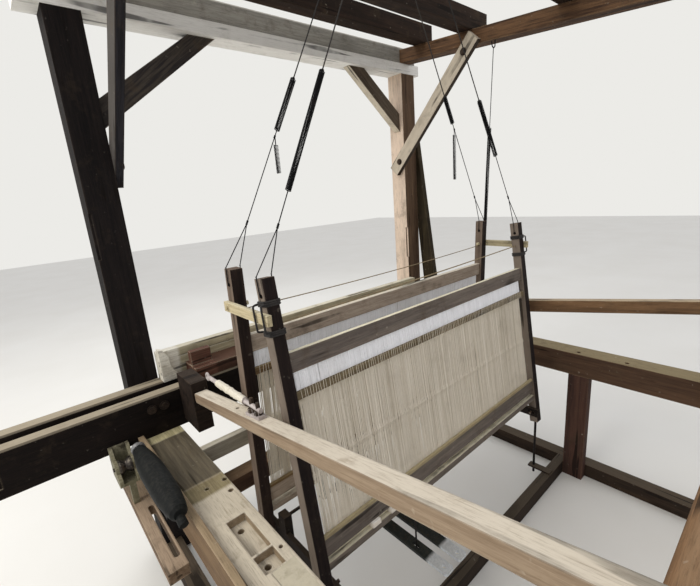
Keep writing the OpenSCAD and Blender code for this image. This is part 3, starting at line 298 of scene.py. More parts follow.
timberLooks = {
    "post_rear_left": {"axis": "Z", "worn": 0.4, "side": (20, 18, 19), "streak": (34, 29, 28),
                       "top": (60, 50, 42), "edge": (96, 82, 70), "edgeAmount": 0.3},
    "post_rear_right": {"axis": "Z", "side": (84, 66, 52), "streak": (112, 90, 70),
                        "westLight": (234, 212, 190), "top": (120, 100, 80), "edge": (226, 204, 180),
                        "grime": 0.15},
    "post_front_left": {"axis": "Z", "side": (92, 68, 48), "streak": (122, 94, 68),
                        "westLight": (170, 142, 116), "top": (150, 130, 100), "edge": (190, 165, 135)},
    "post_front_right": {"axis": "Z", "side": (88, 64, 46), "streak": (118, 88, 64),
                         "westLight": (186, 152, 126), "top": (150, 130, 100), "edge": (190, 165, 135)},
    "side_rail_left": {"axis": "Y", "fibre": (86, 74, 56), "blot": (104, 90, 66), "side": (140, 122, 98),
                       "streak": (168, 151, 126), "top": (206, 196, 176), "topAmount": 0.85,
                       "edge": (225, 215, 195), "patchScale": 2.6, "grime": 0.4, "dirt": (104, 92, 68),
                       # painted shade over the middle stretch of the rail, and a painted patch of light at
                       # its far end
                       "zones": ((1, 0.27, 0.57, (58, 51, 39), (84, 75, 57), 0.06),
                                 (1, 0.20, 0.27, (112, 100, 70), (134, 122, 88), 0.05),
                                 (1, 0.57, 2.0, (176, 166, 124), (205, 195, 150), 0.05))},
    "side_board_left": {"axis": "Y", "side": (98, 78, 58), "streak": (124, 102, 77),
                        "top": (164, 145, 116), "edge": (214, 190, 160), "grime": 0.4},
    "side_rail_right": {"axis": "Y", "side": (66, 50, 40), "streak": (92, 70, 54), "top": (152, 138, 106),
                        "topAmount": 0.85, "edge": (190, 165, 130), "grime": 0.3},
    "middle_legs": {"axis": "Z", "side": (58, 42, 38), "streak": (84, 60, 50), "top": (120, 95, 75),
                    "edge": (140, 112, 90)},
    "sills": {"axis": "Y", "worn": 0.4, "side": (40, 32, 27), "streak": (60, 48, 38), "top": (104, 92, 76),
              "topAmount": 0.5, "edge": (110, 94, 78)},
    "floor_tie": {"axis": "X", "worn": 0.4, "side": (36, 29, 26), "streak": (54, 44, 36),
                  "top": (96, 86, 72), "topAmount": 0.5, "edge": (104, 90, 74)},
    "front_tie": {"axis": "X", "side": (110, 86, 62), "streak": (138, 110, 82), "top": (176, 156, 126),
                  "edge": (190, 168, 138)},
    "grey_tie_board": {"axis": "X", "side": (146, 140, 126), "streak": (172, 166, 150),
                       "top": (190, 182, 164), "edge": (205, 198, 180), "grime": 0.3},
    "dark_tie_timber": {"axis": "X", "side": (58, 42, 34), "streak": (84, 62, 46), "top": (130, 108, 84),
                        "edge": (130, 106, 82)},
    "outrigger": {"axis": "Y", "side": (104, 84, 66), "streak": (134, 112, 90), "top": (184, 162, 138),
                  "topAmount": 0.8, "edge": (196, 176, 150)},
    "cross_board_front": {"axis": "X", "worn": 0.4, "side": (14, 11, 10), "streak": (26, 20, 18),
                          "top": (172, 160, 138), "topAmount": 0.85, "edge": (170, 152, 126),
                          "edgeAmount": 0.3, "grime": 0.15},
    "cross_board_rear": {"axis": "X", "worn": 0.4, "side": (24, 19, 17), "streak": (40, 32, 27),
                         "top": (172, 160, 138), "topAmount": 0.85, "edge": (170, 152, 126),
                         "edgeAmount": 0.3, "grime": 0.15},
    "cross_beam_blocks": {"axis": "X", "worn": 0.4, "side": (30, 24, 21), "streak": (48, 38, 32),
                          "top": (60, 50, 42), "edge": (90, 76, 62)},
    "pale_board": {"axis": "X", "fibre": (110, 98, 74), "blot": (120, 106, 80), "side": (160, 150, 122),
                   "streak": (196, 186, 156), "top": (226, 219, 198), "edge": (236, 230, 212),
                   "grime": 0.3, "dirt": (96, 84, 60),
                   "zones": ((0, -2.0, -0.45, (226, 220, 204), (240, 236, 222), 0.02),)},
    "cap_timber": {"axis": "X", "side": (54, 38, 32), "streak": (78, 54, 44), "top": (98, 72, 58),
                   "edge": (200, 186, 160), "edgeAmount": 0.6,
                   "zones": ((0, -0.46, -0.355, (92, 62, 52), (112, 78, 64), 0.0),)},
    "sloping_rail_left": {"axis": "Y", "turn": (0.173, 0, 0), "side": (130, 111, 91),
                          "streak": (160, 141, 118), "checks": 0.5, "fibre": (120, 101, 78),
                          "blot": (128, 108, 84), "top": (208, 198, 180), "topAmount": 0.95,
                          "edge": (222, 213, 197), "grime": 0.15, "dirt": (110, 92, 68)},
    "sloping_rail_right": {"axis": "Y", "turn": (0.14, 0, 0), "side": (96, 73, 52),
                           "streak": (130, 100, 72), "top": (196, 178, 150), "topAmount": 0.8,
                           "edge": (206, 186, 150)},
    # the plank's sides are painted near-white, brighter than its top, as painted light
    "top_plank": {"axis": "X", "fibre": (120, 112, 100), "blot": (132, 122, 106), "side": (240, 238, 232),
                  "streak": (250, 248, 243), "worn": 0.5, "top": (220, 214, 202), "edge": (236, 232, 222),
                  "grime": 0.25, "dirt": (120, 106, 88)},
    "top_rear_beam": {"axis": "X", "side": (146, 143, 135), "streak": (172, 168, 158),
                      "top": (214, 208, 194), "topAmount": 0.9, "edge": (214, 208, 196), "grime": 0.3},
    "top_side_beams": {"axis": "Y", "turn": (-0.088, 0, 0), "side": (52, 38, 33), "streak": (112, 84, 60),
                       "top": (206, 188, 150), "edge": (186, 156, 118), "grime": 0.3, "dirt": (50, 36, 30)},
    "top_cross_timbers": {"axis": "X", "side": (38, 30, 26), "streak": (60, 46, 38), "top": (120, 104, 86),
                          "edge": (110, 92, 74), "edgeAmount": 0.35},
    "roller_bearers": {"axis": "Y", "side": (86, 64, 46), "streak": (112, 86, 64), "top": (150, 128, 100),
                       "edge": (150, 126, 98)},
    "roller_blocks": {"axis": "Z", "side": (104, 78, 54), "streak": (132, 102, 74), "top": (160, 136, 106),
                      "edge": (164, 138, 108)},
    "knee_braces": {"axis": "X", "mirror": True, "turn": (0, 0.7, 0), "side": (72, 62, 52),
                    "streak": (104, 92, 78), "top": (150, 136, 114), "edge": (190, 176, 154),
                    # the underside is painted pale as painted light
                    "under": (222, 211, 190), "grime": 0.2,
                    "zones": ((0, -2.0, 0.0, (44, 42, 44), (74, 68, 62), 0.0),)},
    "side_braces": {"axis": "Y", "turn": (0.83, 0, 0), "worn": 0.6, "side": (170, 158, 138),
                    "streak": (196, 184, 164), "westLight": (206, 194, 174), "top": (214, 200, 180),
                    # the underside is painted dark as painted shadow
                    "edge": (110, 94, 78), "grime": 0.2, "under": (44, 34, 28),
                    "zones": ((0, -2.0, 0.0, (26, 28, 34), (46, 46, 52), 0.0),)},
    "prop_right": {"axis": "Z", "side": (44, 38, 28), "streak": (64, 56, 40), "top": (110, 96, 70),
                   "edge": (120, 106, 80)},
    "warp_bearings": {"axis": "Z", "side": (96, 72, 50), "streak": (124, 96, 70), "top": (156, 134, 106),
                      "edge": (160, 136, 106)},
    "harness_roller": {"axis": "X", "side": (138, 106, 74), "streak": (164, 130, 94),
                       "top": (150, 120, 88), "edge": (184, 154, 118)},
    "warp_beam": {"axis": "X", "side": (124, 94, 66), "streak": (154, 120, 88), "top": (150, 124, 96),
                  "edge": (176, 148, 114)},
    "front_heald_posts": {"axis": "Z", "worn": 0.4, "turn": (0.133, 0, 0), "side": (26, 20, 20),
                          "streak": (48, 38, 35), "westLight": (128, 116, 104), "top": (120, 100, 84),
                          "edge": (168, 150, 132), "edgeAmount": 0.3, "edgeRadius": 0.004, "grime": 0.35},
    "rear_heald_posts": {"axis": "Z", "worn": 0.4, "turn": (-0.033, 0, 0), "side": (30, 23, 21),
                         "streak": (54, 42, 37), "westLight": (126, 110, 96), "top": (120, 100, 84),
                         "edge": (168, 150, 132), "edgeAmount": 0.3, "edgeRadius": 0.004, "grime": 0.35},
    "front_heald_rails": {"axis": "X", "side": (98, 90, 84), "streak": (124, 114, 104),
                          "top": (232, 224, 196), "topAmount": 0.97, "edge": (186, 170, 144),
                          "edgeRadius": 0.004},
    "rear_heald_rails": {"axis": "X", "side": (156, 140, 124), "streak": (184, 168, 150),
                         "top": (222, 212, 192), "topAmount": 0.9, "edge": (214, 202, 180),
                         "edgeRadius": 0.004, "grime": 0.25},
    "front_heald_rods": {"axis": "X", "side": (150, 136, 104), "streak": (174, 160, 126),
                         "top": (190, 176, 140), "edge": (196, 182, 146), "edgeRadius": 0.003,
                         "zones": ((2, 0.80, 2.0, (96, 84, 64), (120, 106, 82), 0.0),)},
    "rear_heald_rods": {"axis": "X", "side": (118, 96, 68), "streak": (146, 120, 88),
                        "top": (176, 156, 118), "edge": (190, 172, 136), "edgeRadius": 0.003},
    "packing_blocks": {"axis": "X", "side": (232, 222, 208), "streak": (241, 233, 221),
                       "top": (245, 240, 230), "edge": (245, 240, 230), "worn": 0.2, "grime": 0.1,
                       "checks": 0.1},
    "top_slats": {"axis": "Y", "side": (178, 164, 130), "streak": (206, 194, 160), "top": (218, 208, 178),
                  "edge": (228, 218, 190), "edgeRadius": 0.003, "grime": 0.25},
    "bottom_links": {"axis": "Y", "worn": 0.4, "side": (24, 20, 19), "streak": (42, 35, 31),
                     "top": (76, 66, 56), "edge": (96, 84, 70), "edgeRadius": 0.003},
}

# The levers are dark steel with a painted highlight: a near-white zone near their front ends
leverLook = {"base": (52, 56, 56), "second": (38, 42, 42), "rust": (92, 72, 56), "rough": 0.32,
             "rusty": 0.15, "dust": 0.1, "bump": 0.1,
             "zones": ((1, -0.175, -0.095, (220, 225, 231), (234, 238, 243), 0.01),)}

metalLooks = {
    "coach_screws": {"base": (58, 50, 46), "second": (84, 72, 62), "rust": (104, 66, 42), "rough": 0.45},
    "lever_pivot": {"base": (62, 58, 56), "second": (84, 78, 74), "rust": (98, 64, 44), "rough": 0.45},
    "tie_rods": {"base": (34, 32, 32), "second": (52, 48, 46), "rust": (84, 56, 40), "rough": 0.5},
    "front_pull_rod": {"base": (40, 38, 38), "second": (60, 56, 54), "rust": (84, 56, 40), "rough": 0.5},
    "rear_pull_rod": {"base": (40, 38, 38), "second": (60, 56, 54), "rust": (84, 56, 40), "rough": 0.5},
    "front_lever": leverLook,
    "rear_lever": leverLook,
    "cast_bracket": {"base": (112, 107, 84), "second": (142, 136, 112), "rust": (40, 34, 28), "rough": 0.5,
                     "metallic": 0.1, "rusty": 0.85, "dust": 0.45, "shine": 0.25},
    "bracket_roller": {"base": (56, 52, 50), "second": (110, 104, 96), "rust": (84, 60, 44), "rough": 0.4},
    "motor": {"base": (9, 11, 11), "second": (16, 19, 19), "rust": (40, 36, 31), "rough": 0.5,
              "metallic": 0.0, "rusty": 0.2, "dust": 0.03, "bump": 0.12, "shine": 0.16},
    "motor_shaft": {"base": (120, 120, 122), "second": (150, 150, 152), "rust": (96, 70, 52), "rough": 0.35},
    "rail_stick": {"base": (166, 156, 152), "second": (196, 188, 184), "rust": (116, 98, 82), "rough": 0.5,
                   "metallic": 0.2, "dust": 0.2},
    "pocket_plate": {"base": (186, 177, 154), "second": (206, 198, 176), "rust": (120, 104, 76),
                     "rough": 0.55, "metallic": 0.2, "patchScale": 14.0},
    "spring_steel": {"base": (13, 13, 15), "second": (26, 26, 28), "rust": (52, 40, 33), "rough": 0.5,
                     "metallic": 0.3, "rusty": 0.25, "dust": 0.08, "shine": 0.2},
}

twineLooks = {
    "heald_string": {"base": (238, 229, 211), "second": (216, 206, 186), "dirt": (176, 163, 140),
                     "dirty": 0.35},
    "white_string": {"base": (252, 252, 253), "second": (240, 240, 241), "dirt": (196, 190, 180),
                     "dirty": 0.2},
    "dark_cord": {"base": (30, 28, 28), "second": (50, 46, 44), "dirt": (96, 88, 76), "dirty": 0.3},
    "tan_cord": {"base": (150, 132, 100), "second": (120, 104, 78), "dirt": (70, 60, 46), "dirty": 0.4},
    "wrap_cloth": {"base": (226, 220, 204), "second": (190, 180, 158), "dirt": (90, 78, 60), "dirty": 0.5},
}


materials = {}
for recipe, looks in ((timber, timberLooks), (metal, metalLooks), (twine, twineLooks)):
    materials.update({name: recipe(name, look) for name, look in looks.items()})
print("materials made:", len(materials))


def paint(piece, material):
    piece.data.materials.clear()
    piece.data.materials.append(materials[material])


for name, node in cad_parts.items():
    if name in materials:
        paint(node, name)


# Mesh helpers

def keep(mesh, name, material, body):
    data = bpy.data.meshes.new(name)
    bmesh.ops.recalc_face_normals(mesh, faces=mesh.faces)
    mesh.to_mesh(data)
    mesh.free()
    piece = newObject(name, data)
    paint(piece, material)
    if body:
        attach(piece, body)
    return piece


# Shades a piece smooth, apart from the edges that are sharper than the angle
def smooth(piece, angle):
    mesh = bmesh.new()
    mesh.from_mesh(piece.data)
    for f in mesh.faces:
        f.smooth = True
    for e in mesh.edges:
        if len(e.link_faces) == 2 and e.calc_face_angle(0) > math.radians(angle):
            e.smooth = False
    mesh.to_mesh(piece.data)
    mesh.free()


def edgesOf(verts):
    return list(dict.fromkeys(e for v in verts for e in v.link_edges))


def bevelEdges(mesh, edges, offset, segments=2):
    bmesh.ops.bevel(mesh, geom=edges, offset=offset, segments=segments, profile=0.5, affect="EDGES",
                    material=-1, clamp_overlap=True)


def shift(x, y, z):
    return Matrix.Translation((x, y, z))


# The turn that points a shape's own Z along a direction
def aim(direction):
    return direction.to_track_quat("Z", "Y").to_matrix().to_4x4()


# A straight rod between two points
def addRod(mesh, a, b, radius, sides):
    a, b = Vector(a), Vector(b)
    bmesh.ops.create_cone(mesh, cap_ends=True, segments=sides, radius1=radius, radius2=radius,
                          depth=(b - a).length, matrix=Matrix.Translation((a + b) / 2) @ aim(b - a))


def addBead(mesh, at, radius):
    bmesh.ops.create_icosphere(mesh, subdivisions=1, radius=radius, matrix=Matrix.Translation(at))


# A coil of wire between two points
def addCoil(mesh, a, b, radius, wire, turns, sides, steps):
    upright = shift(radius, 0, wire) @ Matrix.Rotation(math.pi / 2, 4, "X")
    made = bmesh.ops.create_circle(mesh, segments=sides, radius=wire, cap_ends=False, matrix=upright)
    ring = made["verts"]
    others = set(mesh.verts) - set(ring)
    rise = ((b - a).length - 2 * wire) / (turns * steps)
    bmesh.ops.spin(mesh, geom=ring + edgesOf(ring), cent=(0, 0, 0), axis=(0, 0, 1), dvec=(0, 0, rise),
                   angle=math.tau * turns, steps=turns * steps, use_merge=False)
    fresh = [v for v in mesh.verts if v not in others]
    bmesh.ops.transform(mesh, matrix=Matrix.Translation(a) @ aim(b - a), verts=fresh)


# A tube along a list of points, as mesh data; eased, it rounds the corners
def tube(name, points, diameter, eased):
    curve = bpy.data.curves.new(name, "CURVE")
    curve.dimensions = "3D"
    curve.bevel_depth = diameter / 2
    curve.bevel_resolution = 2
    curve.resolution_u = 5 if eased else 1
    curve.use_fill_caps = True
    line = curve.splines.new("NURBS" if eased else "POLY")
    line.points.add(len(points) - 1)
    for p, q in zip(line.points, points):
        p.co = (*q, 1)
    line.use_endpoint_u = True
    line.order_u = 3
    guide = newObject(name, curve)
    bpy.context.view_layer.update()
    data = bpy.data.meshes.new_from_object(guide.evaluated_get(bpy.context.evaluated_depsgraph_get()))
    bpy.data.objects.remove(guide)
    data.name = name
    for p in data.polygons:
        p.use_smooth = True
    return data


def addTube(mesh, points, diameter, eased=False):
    data = tube("turn", points, diameter, eased)
    mesh.from_mesh(data)
    bpy.data.meshes.remove(data)


# Heald frames; heights in the next dictionaries are measured up the leaning posts

healdSet = {
    "post": 0.034, "foot": 0.3,  # a post's thickness, and the level of the frames' feet
    "front": {"lean": 7.6, "up": 1, "seed": 3, "loopSeed": 23},
    "rear": {"lean": -1.9, "up": -1, "seed": 8, "loopSeed": 28},
}


# Where a heald frame stands: its turn, its width, and from where to where its healds hang
def healdPlace(side):
    post = healdSet["post"]
    lean = math.radians(healdSet[side]["lean"])
    low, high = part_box(side + "_heald_posts")
    stringLow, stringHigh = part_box(side + "_heald_strings")
    rodLow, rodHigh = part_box(side + "_heald_rods")
    half = post / 2 * math.cos(lean)
    footY = low.y + half if healdSet[side]["up"] > 0 else high.y - half
    left = rodLow.x - post
    turn = shift(left, footY, healdSet["foot"]) @ Matrix.Rotation(-lean, 4, "X")
    return turn, rodHigh.x + post - left, (stringLow.x - left, stringHigh.x - left)


stringSet = {
    "low": 0.197, "eye": 0.39, "high": 0.585, "eyeHalf": 0.013,
    "pitch": 0.0030, "width": 0.0026, "apart": 0.0022,  # apart: how far a ply stands from the middle
    "stray": 0.0006, "sway": 0.0016, "uneven": (0.8, 1.15),
    "tie": {"from": 0.577, "to": 0.607, "front": -0.0127, "radius": 0.0007, "gap": (0.007, 0.012),
            "stray": 0.002, "first": 0.004},
}


# Each heald is a long loop of twine with an eye halfway; its two plies pass before and behind the rods
def addStrings(side):
    s = stringSet
    rng = random.Random(healdSet[side]["seed"])
    turn, _, (x0, x1) = healdPlace(side)
    mesh = bmesh.new()
    threads = []
    number = mesh.verts.layers.int.new("thread")
    for i in range(int((x1 - x0) / s["pitch"])):
        for ply in (-1, 1):
            x = x0 + (i + 0.5 + 0.25 * ply) * s["pitch"] + rng.uniform(-s["stray"], s["stray"])
            radius = s["width"] * rng.uniform(*s["uneven"]) / 2
            made = bmesh.ops.create_circle(mesh, segments=3, radius=radius, cap_ends=False,
                                           matrix=shift(x, ply * s["apart"], s["low"]))
            for v in made["verts"]:
                v[number] = len(threads)
            threads.append((ply, rng.uniform(-s["sway"], s["sway"])))
    edges = list(mesh.edges)
    # Each level's height, its share of the sway, and how far apart the plies stand
    levels = ((s["low"], 0.0, 1.0), (s["eye"] - s["eyeHalf"], 1.0, 0.5), (s["eye"], 1.0, 1.6),
              (s["eye"] + s["eyeHalf"], 1.0, 0.5), (s["high"], 0.4, 1.0))
    for (z0, sway0, push0), (z1, sway1, push1) in zip(levels, levels[1:]):
        new = bmesh.ops.extrude_edge_only(mesh, edges=edges)["geom"]
        edges = [g for g in new if isinstance(g, bmesh.types.BMEdge)]
        for v in (g for g in new if isinstance(g, bmesh.types.BMVert)):
            ply, sway = threads[v[number]]
            v.co += Vector((sway * (sway1 - sway0), ply * s["apart"] * (push1 - push0), z1 - z0))
    tie = s["tie"]
    x = x0 + tie["first"]
    while x < x1:  # fine threads that tie the loops down over the front of the upper rod
        stray = rng.uniform(-tie["stray"], tie["stray"])
        addRod(mesh, (x, tie["front"], tie["from"]), (x + stray, tie["front"], tie["to"]), tie["radius"], 3)
        x += rng.uniform(*tie["gap"])
    bmesh.ops.transform(mesh, matrix=turn, verts=mesh.verts)
    piece = keep(mesh, side + "_healds", "heald_string", side + "_heald")
    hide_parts(side + "_heald_strings")


loopSet = {"low": 0.604, "high": 0.651, "apart": 0.0046, "narrow": 0.8, "radius": 0.0023, "pitch": 0.0036,
           "stray": 0.0012, "past": 0.004}


# White loops that carry the upper heald rod from the rail
def addWhiteLoops(side):
    s = loopSet
    rng = random.Random(healdSet[side]["loopSeed"])
    turn, _, (x0, x1) = healdPlace(side)
    mesh = bmesh.new()
    x = x0 - s["past"]
    while x < x1 + s["past"]:
        for y in (-s["apart"], s["apart"]):
            foot = (x + rng.uniform(-s["stray"], s["stray"]), y, s["low"])
            head = (x + rng.uniform(-s["stray"], s["stray"]), y * s["narrow"], s["high"])
            addRod(mesh, foot, head, s["radius"], 5)
        x += s["pitch"]
    bmesh.ops.transform(mesh, matrix=turn, verts=mesh.verts)
    keep(mesh, side + "_white_loops", "white_string", side + "_heald")


for side in ("front", "rear"):
    addStrings(side)
    addWhiteLoops(side)
print("heald strings made")


# Harness: cords, springs and wires from the roller to the posts' heads

harnessSet = {
    "groove": 0.017, "reach": 0.0478,  # on the roller: half the space between its grooves, and their radius
    "head": 0.897, "hole": 0.850, "shoulder": 0.0199, "loop": 0.122, "skew": 0.0012,  # a post's wire loop
    "wire": 0.0014, "cord": 0.0018, "coil": 0.0066, "coilWire": 0.0014, "pitch": 0.0034,
    "hook": 0.04, "bead": 0.0021, "knot": 0.0048,
    "front": {-1: (0.63, 0.92), 1: (0.64, 0.835)},  # where the spring starts and ends on its line
    "rear": {-1: (0.62, 0.76), 1: (0.605, 0.70)},
    "loose": {-1: (0.775, 0.095), 1: (0.72, 0.190)},  # where a loose spring hangs and how far down
    "looseTop": 0.02, "looseLap": 0.002, "looseCoil": 0.0056, "looseWire": 0.001,
}
bindSet = {"step": 0.0024, "radius": 0.0030, "fill": 0.45, "uneven": 0.08}


# One line's place on the roller, the tip of its wire loop, and the post's head under it
def linePoints(side, hand):
    s = harnessSet
    turn, width, _ = healdPlace(side)
    low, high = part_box("harness_roller")
    centre = (low + high) / 2
    face = -1 if side == "front" else 1
    start = Vector((centre.x + hand * s["groove"], centre.y + face * s["reach"], centre.z))
    x = healdSet["post"] / 2 if hand < 0 else width - healdSet["post"] / 2
    head = turn @ Vector((x, 0, s["head"]))
    return start, head + (start - head).normalized() * s["loop"], head, turn, x


# Turns of wire bound round the place where a loop closes
def addBinding(mesh, at, along, turns):
    step = along.normalized() * bindSet["step"]
    for k in range(turns):
        c = at + step * (k - turns / 2)
        addRod(mesh, c - step * bindSet["fill"], c + step * bindSet["fill"],
               bindSet["radius"] * (1 - bindSet["uneven"] * (k % 2)), 8)


def addHarness(side):
    s = harnessSet
    mesh = bmesh.new()
    cords = []
    for hand in (-1, 1):
        start, tip, head, turn, x = linePoints(side, hand)
        a, b = (start.lerp(tip, t) for t in s[side][hand])
        cords.append((start, a))
        addCoil(mesh, a, b, s["coil"], s["coilWire"], int((b - a).length / s["pitch"]), 6, 10)
        for c, d in ((a, b), (b, a)):  # the coil's ends close into small hooks
            addRod(mesh, c, c.lerp(d, s["hook"]), s["wire"], 6)
        addRod(mesh, b, tip, s["wire"], 8)
        addBinding(mesh, tip, start - tip, 5)
        feet = []
        for h in (-1, 1):
            shoulder = head + Vector((h * s["shoulder"], 0, 0))
            feet.append(turn @ Vector((x + h * s["shoulder"], 0, s["hole"])))
            addRod(mesh, tip + Vector((0, h * s["skew"], 0)), shoulder, s["wire"], 6)
            addRod(mesh, shoulder, feet[-1], s["wire"], 6)
            addBead(mesh, shoulder, s["bead"])
            addBead(mesh, feet[-1], s["bead"])
        addRod(mesh, *feet, s["wire"], 6)
        if side == "rear":
            t, drop = s["loose"][hand]
            p = start.lerp(tip, t)
            addRod(mesh, p, p - Vector((0, 0, s["looseTop"] + s["looseLap"])), s["wire"], 6)
            addBinding(mesh, p, start - tip, 3)
            addCoil(mesh, p - Vector((0, 0, s["looseTop"])), p - Vector((0, 0, drop)), s["looseCoil"],
                    s["looseWire"], int((drop - s["looseTop"]) / s["pitch"]), 5, 8)
    piece = keep(mesh, side + "_springs", "spring_steel", None)
    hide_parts(side + "_harness")
    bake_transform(piece)
    mesh = bmesh.new()
    for a, b in cords:
        addRod(mesh, a, b, s["cord"], 8)
        addBead(mesh, b, s["knot"])
    cord = keep(mesh, side + "_harness_cords", "dark_cord", None)
    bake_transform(cord)


addHarness("front")
addHarness("rear")


slatSpringSet = {
    "hook": (-0.0145, -0.0025, 0), "end": (0.0015, 0.0093, 0.0187),  # from the corners of the solid's box
    "bend": 0.0125, "drop": 0.020, "lap": 0.001, "short": 0.010, "hookRadius": 0.0024,
    "spring": (0.40, 0.92), "cord": 0.0016, "coil": 0.0066, "wire": 0.0014, "pitch": 0.0034,
}


# Hook, cord, spring and wire from the right top beam to the slat's peg
def addSlatSpring():
    s = slatSpringSet
    low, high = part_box("slat_spring")
    bend, lap, thick = s["bend"], s["drop"] + s["lap"], s["hookRadius"]
    hook = high + Vector(s["hook"])
    middle = hook - Vector((0, 0, s["drop"]))
    top = middle - Vector((0, 0, bend))
    end = low + Vector(s["end"])
    a, b = (top.lerp(end, t) for t in s["spring"])
    mesh = bmesh.new()
    ring = bmesh.ops.create_circle(mesh, segments=8, radius=thick, cap_ends=False,
                                   matrix=Matrix.Translation(middle + Vector((bend, 0, 0))))["verts"]
    bmesh.ops.spin(mesh, geom=ring + edgesOf(ring), cent=middle, axis=(0, 1, 0), dvec=(0, 0, 0),
                   angle=math.pi, steps=12, use_merge=False)
    bmesh.ops.holes_fill(mesh, edges=mesh.edges, sides=8)
    addRod(mesh, hook + Vector((bend, 0, 0)), hook + Vector((bend, 0, -lap)), thick, 8)
    addRod(mesh, hook + Vector((-bend, 0, -s["short"])), hook + Vector((-bend, 0, -lap)), thick, 8)
    addRod(mesh, top, a, s["cord"], 8)
    addCoil(mesh, a, b, s["coil"], s["wire"], int((b - a).length / s["pitch"]), 6, 10)
    addRod(mesh, b, end, s["wire"], 8)
    piece = keep(mesh, "slat_spring_line", "spring_steel", None)
    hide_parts("slat_spring")
    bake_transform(piece)


addSlatSpring()
print("harness made")


# Lashings: turns of dark cord round the front posts, above and below the slats, and strands that join them

lashSet = {"cord": 0.0052, "pitch": 0.9, "level": 0.7990, "span": 0.0335, "corner": 0.004, "out": 0.0335,
           "ease": (0.97, 0.001, 0.008),  # how the joining strands round the slat's corners
           "turns": {-1: (0, 1, 2), 1: (-1, 0, 1)}}  # below and above the slat, counted outwards


def addLashings():
    s = lashSet
    post = healdSet["post"]
    turn, width, _ = healdPlace("front")
    r, c = post / 2 + s["cord"] / 2, s["corner"]
    ring = [(-r, -r + c), (-r + c, -r), (r - c, -r), (r, -r + c),
            (r, r - c), (r - c, r), (-r + c, r), (-r, r - c)]
    z0, z1 = s["level"] - s["span"], s["level"] + s["span"]
    pull, low, high = s["ease"]
    mesh = bmesh.new()
    for hand, x in ((-1, post / 2), (1, width - post / 2)):
        for level, turns in s["turns"].items():
            for k in turns:
                z = s["level"] + level * (s["span"] + k * s["cord"] * s["pitch"])
                addTube(mesh, [turn @ Vector((x + px, py, z)) for px, py in ring + ring[:1]], s["cord"])
        inner, outer = hand * r, hand * s["out"]
        strand = ((inner, z0), (outer * pull, z0 + low), (outer, z0 + high), (outer, z1 - high),
                  (outer * pull, z1 - low), (inner, z1))
        for y in (-r, r):
            addTube(mesh, [turn @ Vector((x + px, y, z)) for px, z in strand], s["cord"], eased=True)
    whole = keep(mesh, "lashing_turns", "dark_cord", "front_heald")
    smooth(whole, 60)
    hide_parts("lashings")


addLashings()


# Wrapped rod with an eye above the sloping rail: its strip of cloth and its two black nuts

stickSet = {
    "start": (-0.011, 0.004, 0.0328), "run": (-0.003, 0.311, -0.009), "seed": 4,
    "wrap": (0.27, 0.79), "wrapRadius": 0.0102, "uneven": 0.0005, "lean": (0.16, 0.1), "turns": 10,
    "overlap": 1.3, "taper": 0.95, "wrapEdge": 0.0018,
    "bolts": (0.018, 0.052), "slope": 0.1743, "padLength": 0.070, "padTop": 0.004,
    "nutRadius": 0.0112, "nutHeight": 0.0165, "nutEdge": 0.0016,
    "boltRadius": 0.0056, "boltPast": 0.0175, "boltEdge": 0.0012,
}


def addStick():
    s = stickSet
    low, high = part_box("rail_stick")
    a = Vector((high.x, low.y, low.z)) + Vector(s["start"])
    b = a + Vector(s["run"])
    rng = random.Random(s["seed"])
    mesh = bmesh.new()
    first, last = s["wrap"]
    share = (last - first) / s["turns"]
    for i in range(s["turns"]):
        r = s["wrapRadius"] + rng.uniform(-s["uneven"], s["uneven"])
        lean = Matrix.Identity(4)
        for axis, most in zip("XY", s["lean"]):
            lean = lean @ Matrix.Rotation(rng.uniform(-most, most), 4, axis)
        place = Matrix.Translation(a.lerp(b, first + share * (i + 0.5))) @ aim(b - a) @ lean
        made = bmesh.ops.create_cone(mesh, cap_ends=True, segments=20, radius1=r, radius2=r * s["taper"],
                                     depth=(b - a).length * share * s["overlap"], matrix=place)
        bevelEdges(mesh, [e for e in edgesOf(made["verts"]) if e.calc_face_angle(0) > 1], s["wrapEdge"])
    smooth(keep(mesh, "stick_wraps", "wrap_cloth", "frame"), 50)
    mesh = bmesh.new()
    for d in s["bolts"]:
        foot = Vector((a.x, low.y + d, low.z + (s["padLength"] - d) * s["slope"] + s["padTop"]))
        made = bmesh.ops.create_cone(mesh, cap_ends=True, segments=6, radius1=s["nutRadius"],
                                     radius2=s["nutRadius"], depth=s["nutHeight"],
                                     matrix=Matrix.Translation(foot) @ shift(0, 0, s["nutHeight"] / 2))
        rims = [e for e in edgesOf(made["verts"]) if abs((e.verts[0].co - e.verts[1].co).z) < 1e-4]
        bevelEdges(mesh, rims, s["nutEdge"])
        rise = a.z - foot.z + s["boltPast"]
        made = bmesh.ops.create_cone(mesh, cap_ends=True, segments=16, radius1=s["boltRadius"],
                                     radius2=s["boltRadius"], depth=rise,
                                     matrix=Matrix.Translation(foot) @ shift(0, 0, rise / 2))
        tip = [e for e in edgesOf(made["verts"]) if min(v.co.z for v in e.verts) > a.z]
        bevelEdges(mesh, tip, s["boltEdge"])
    smooth(keep(mesh, "stick_nuts", "coach_screws", "frame"), 35)


addStick()
print("lashings and stick made")


# Two cords stretched between the posts of a heald frame, one in each frame

crossSet = {
    "steps": 32, "y": 0.002,
    "rear": {"z": (0.777, 0.783), "sag": 0.008, "diameter": 0.0032},
    "front": {"z": (0.777, 0.797), "sag": 0.003, "diameter": 0.0040},
}


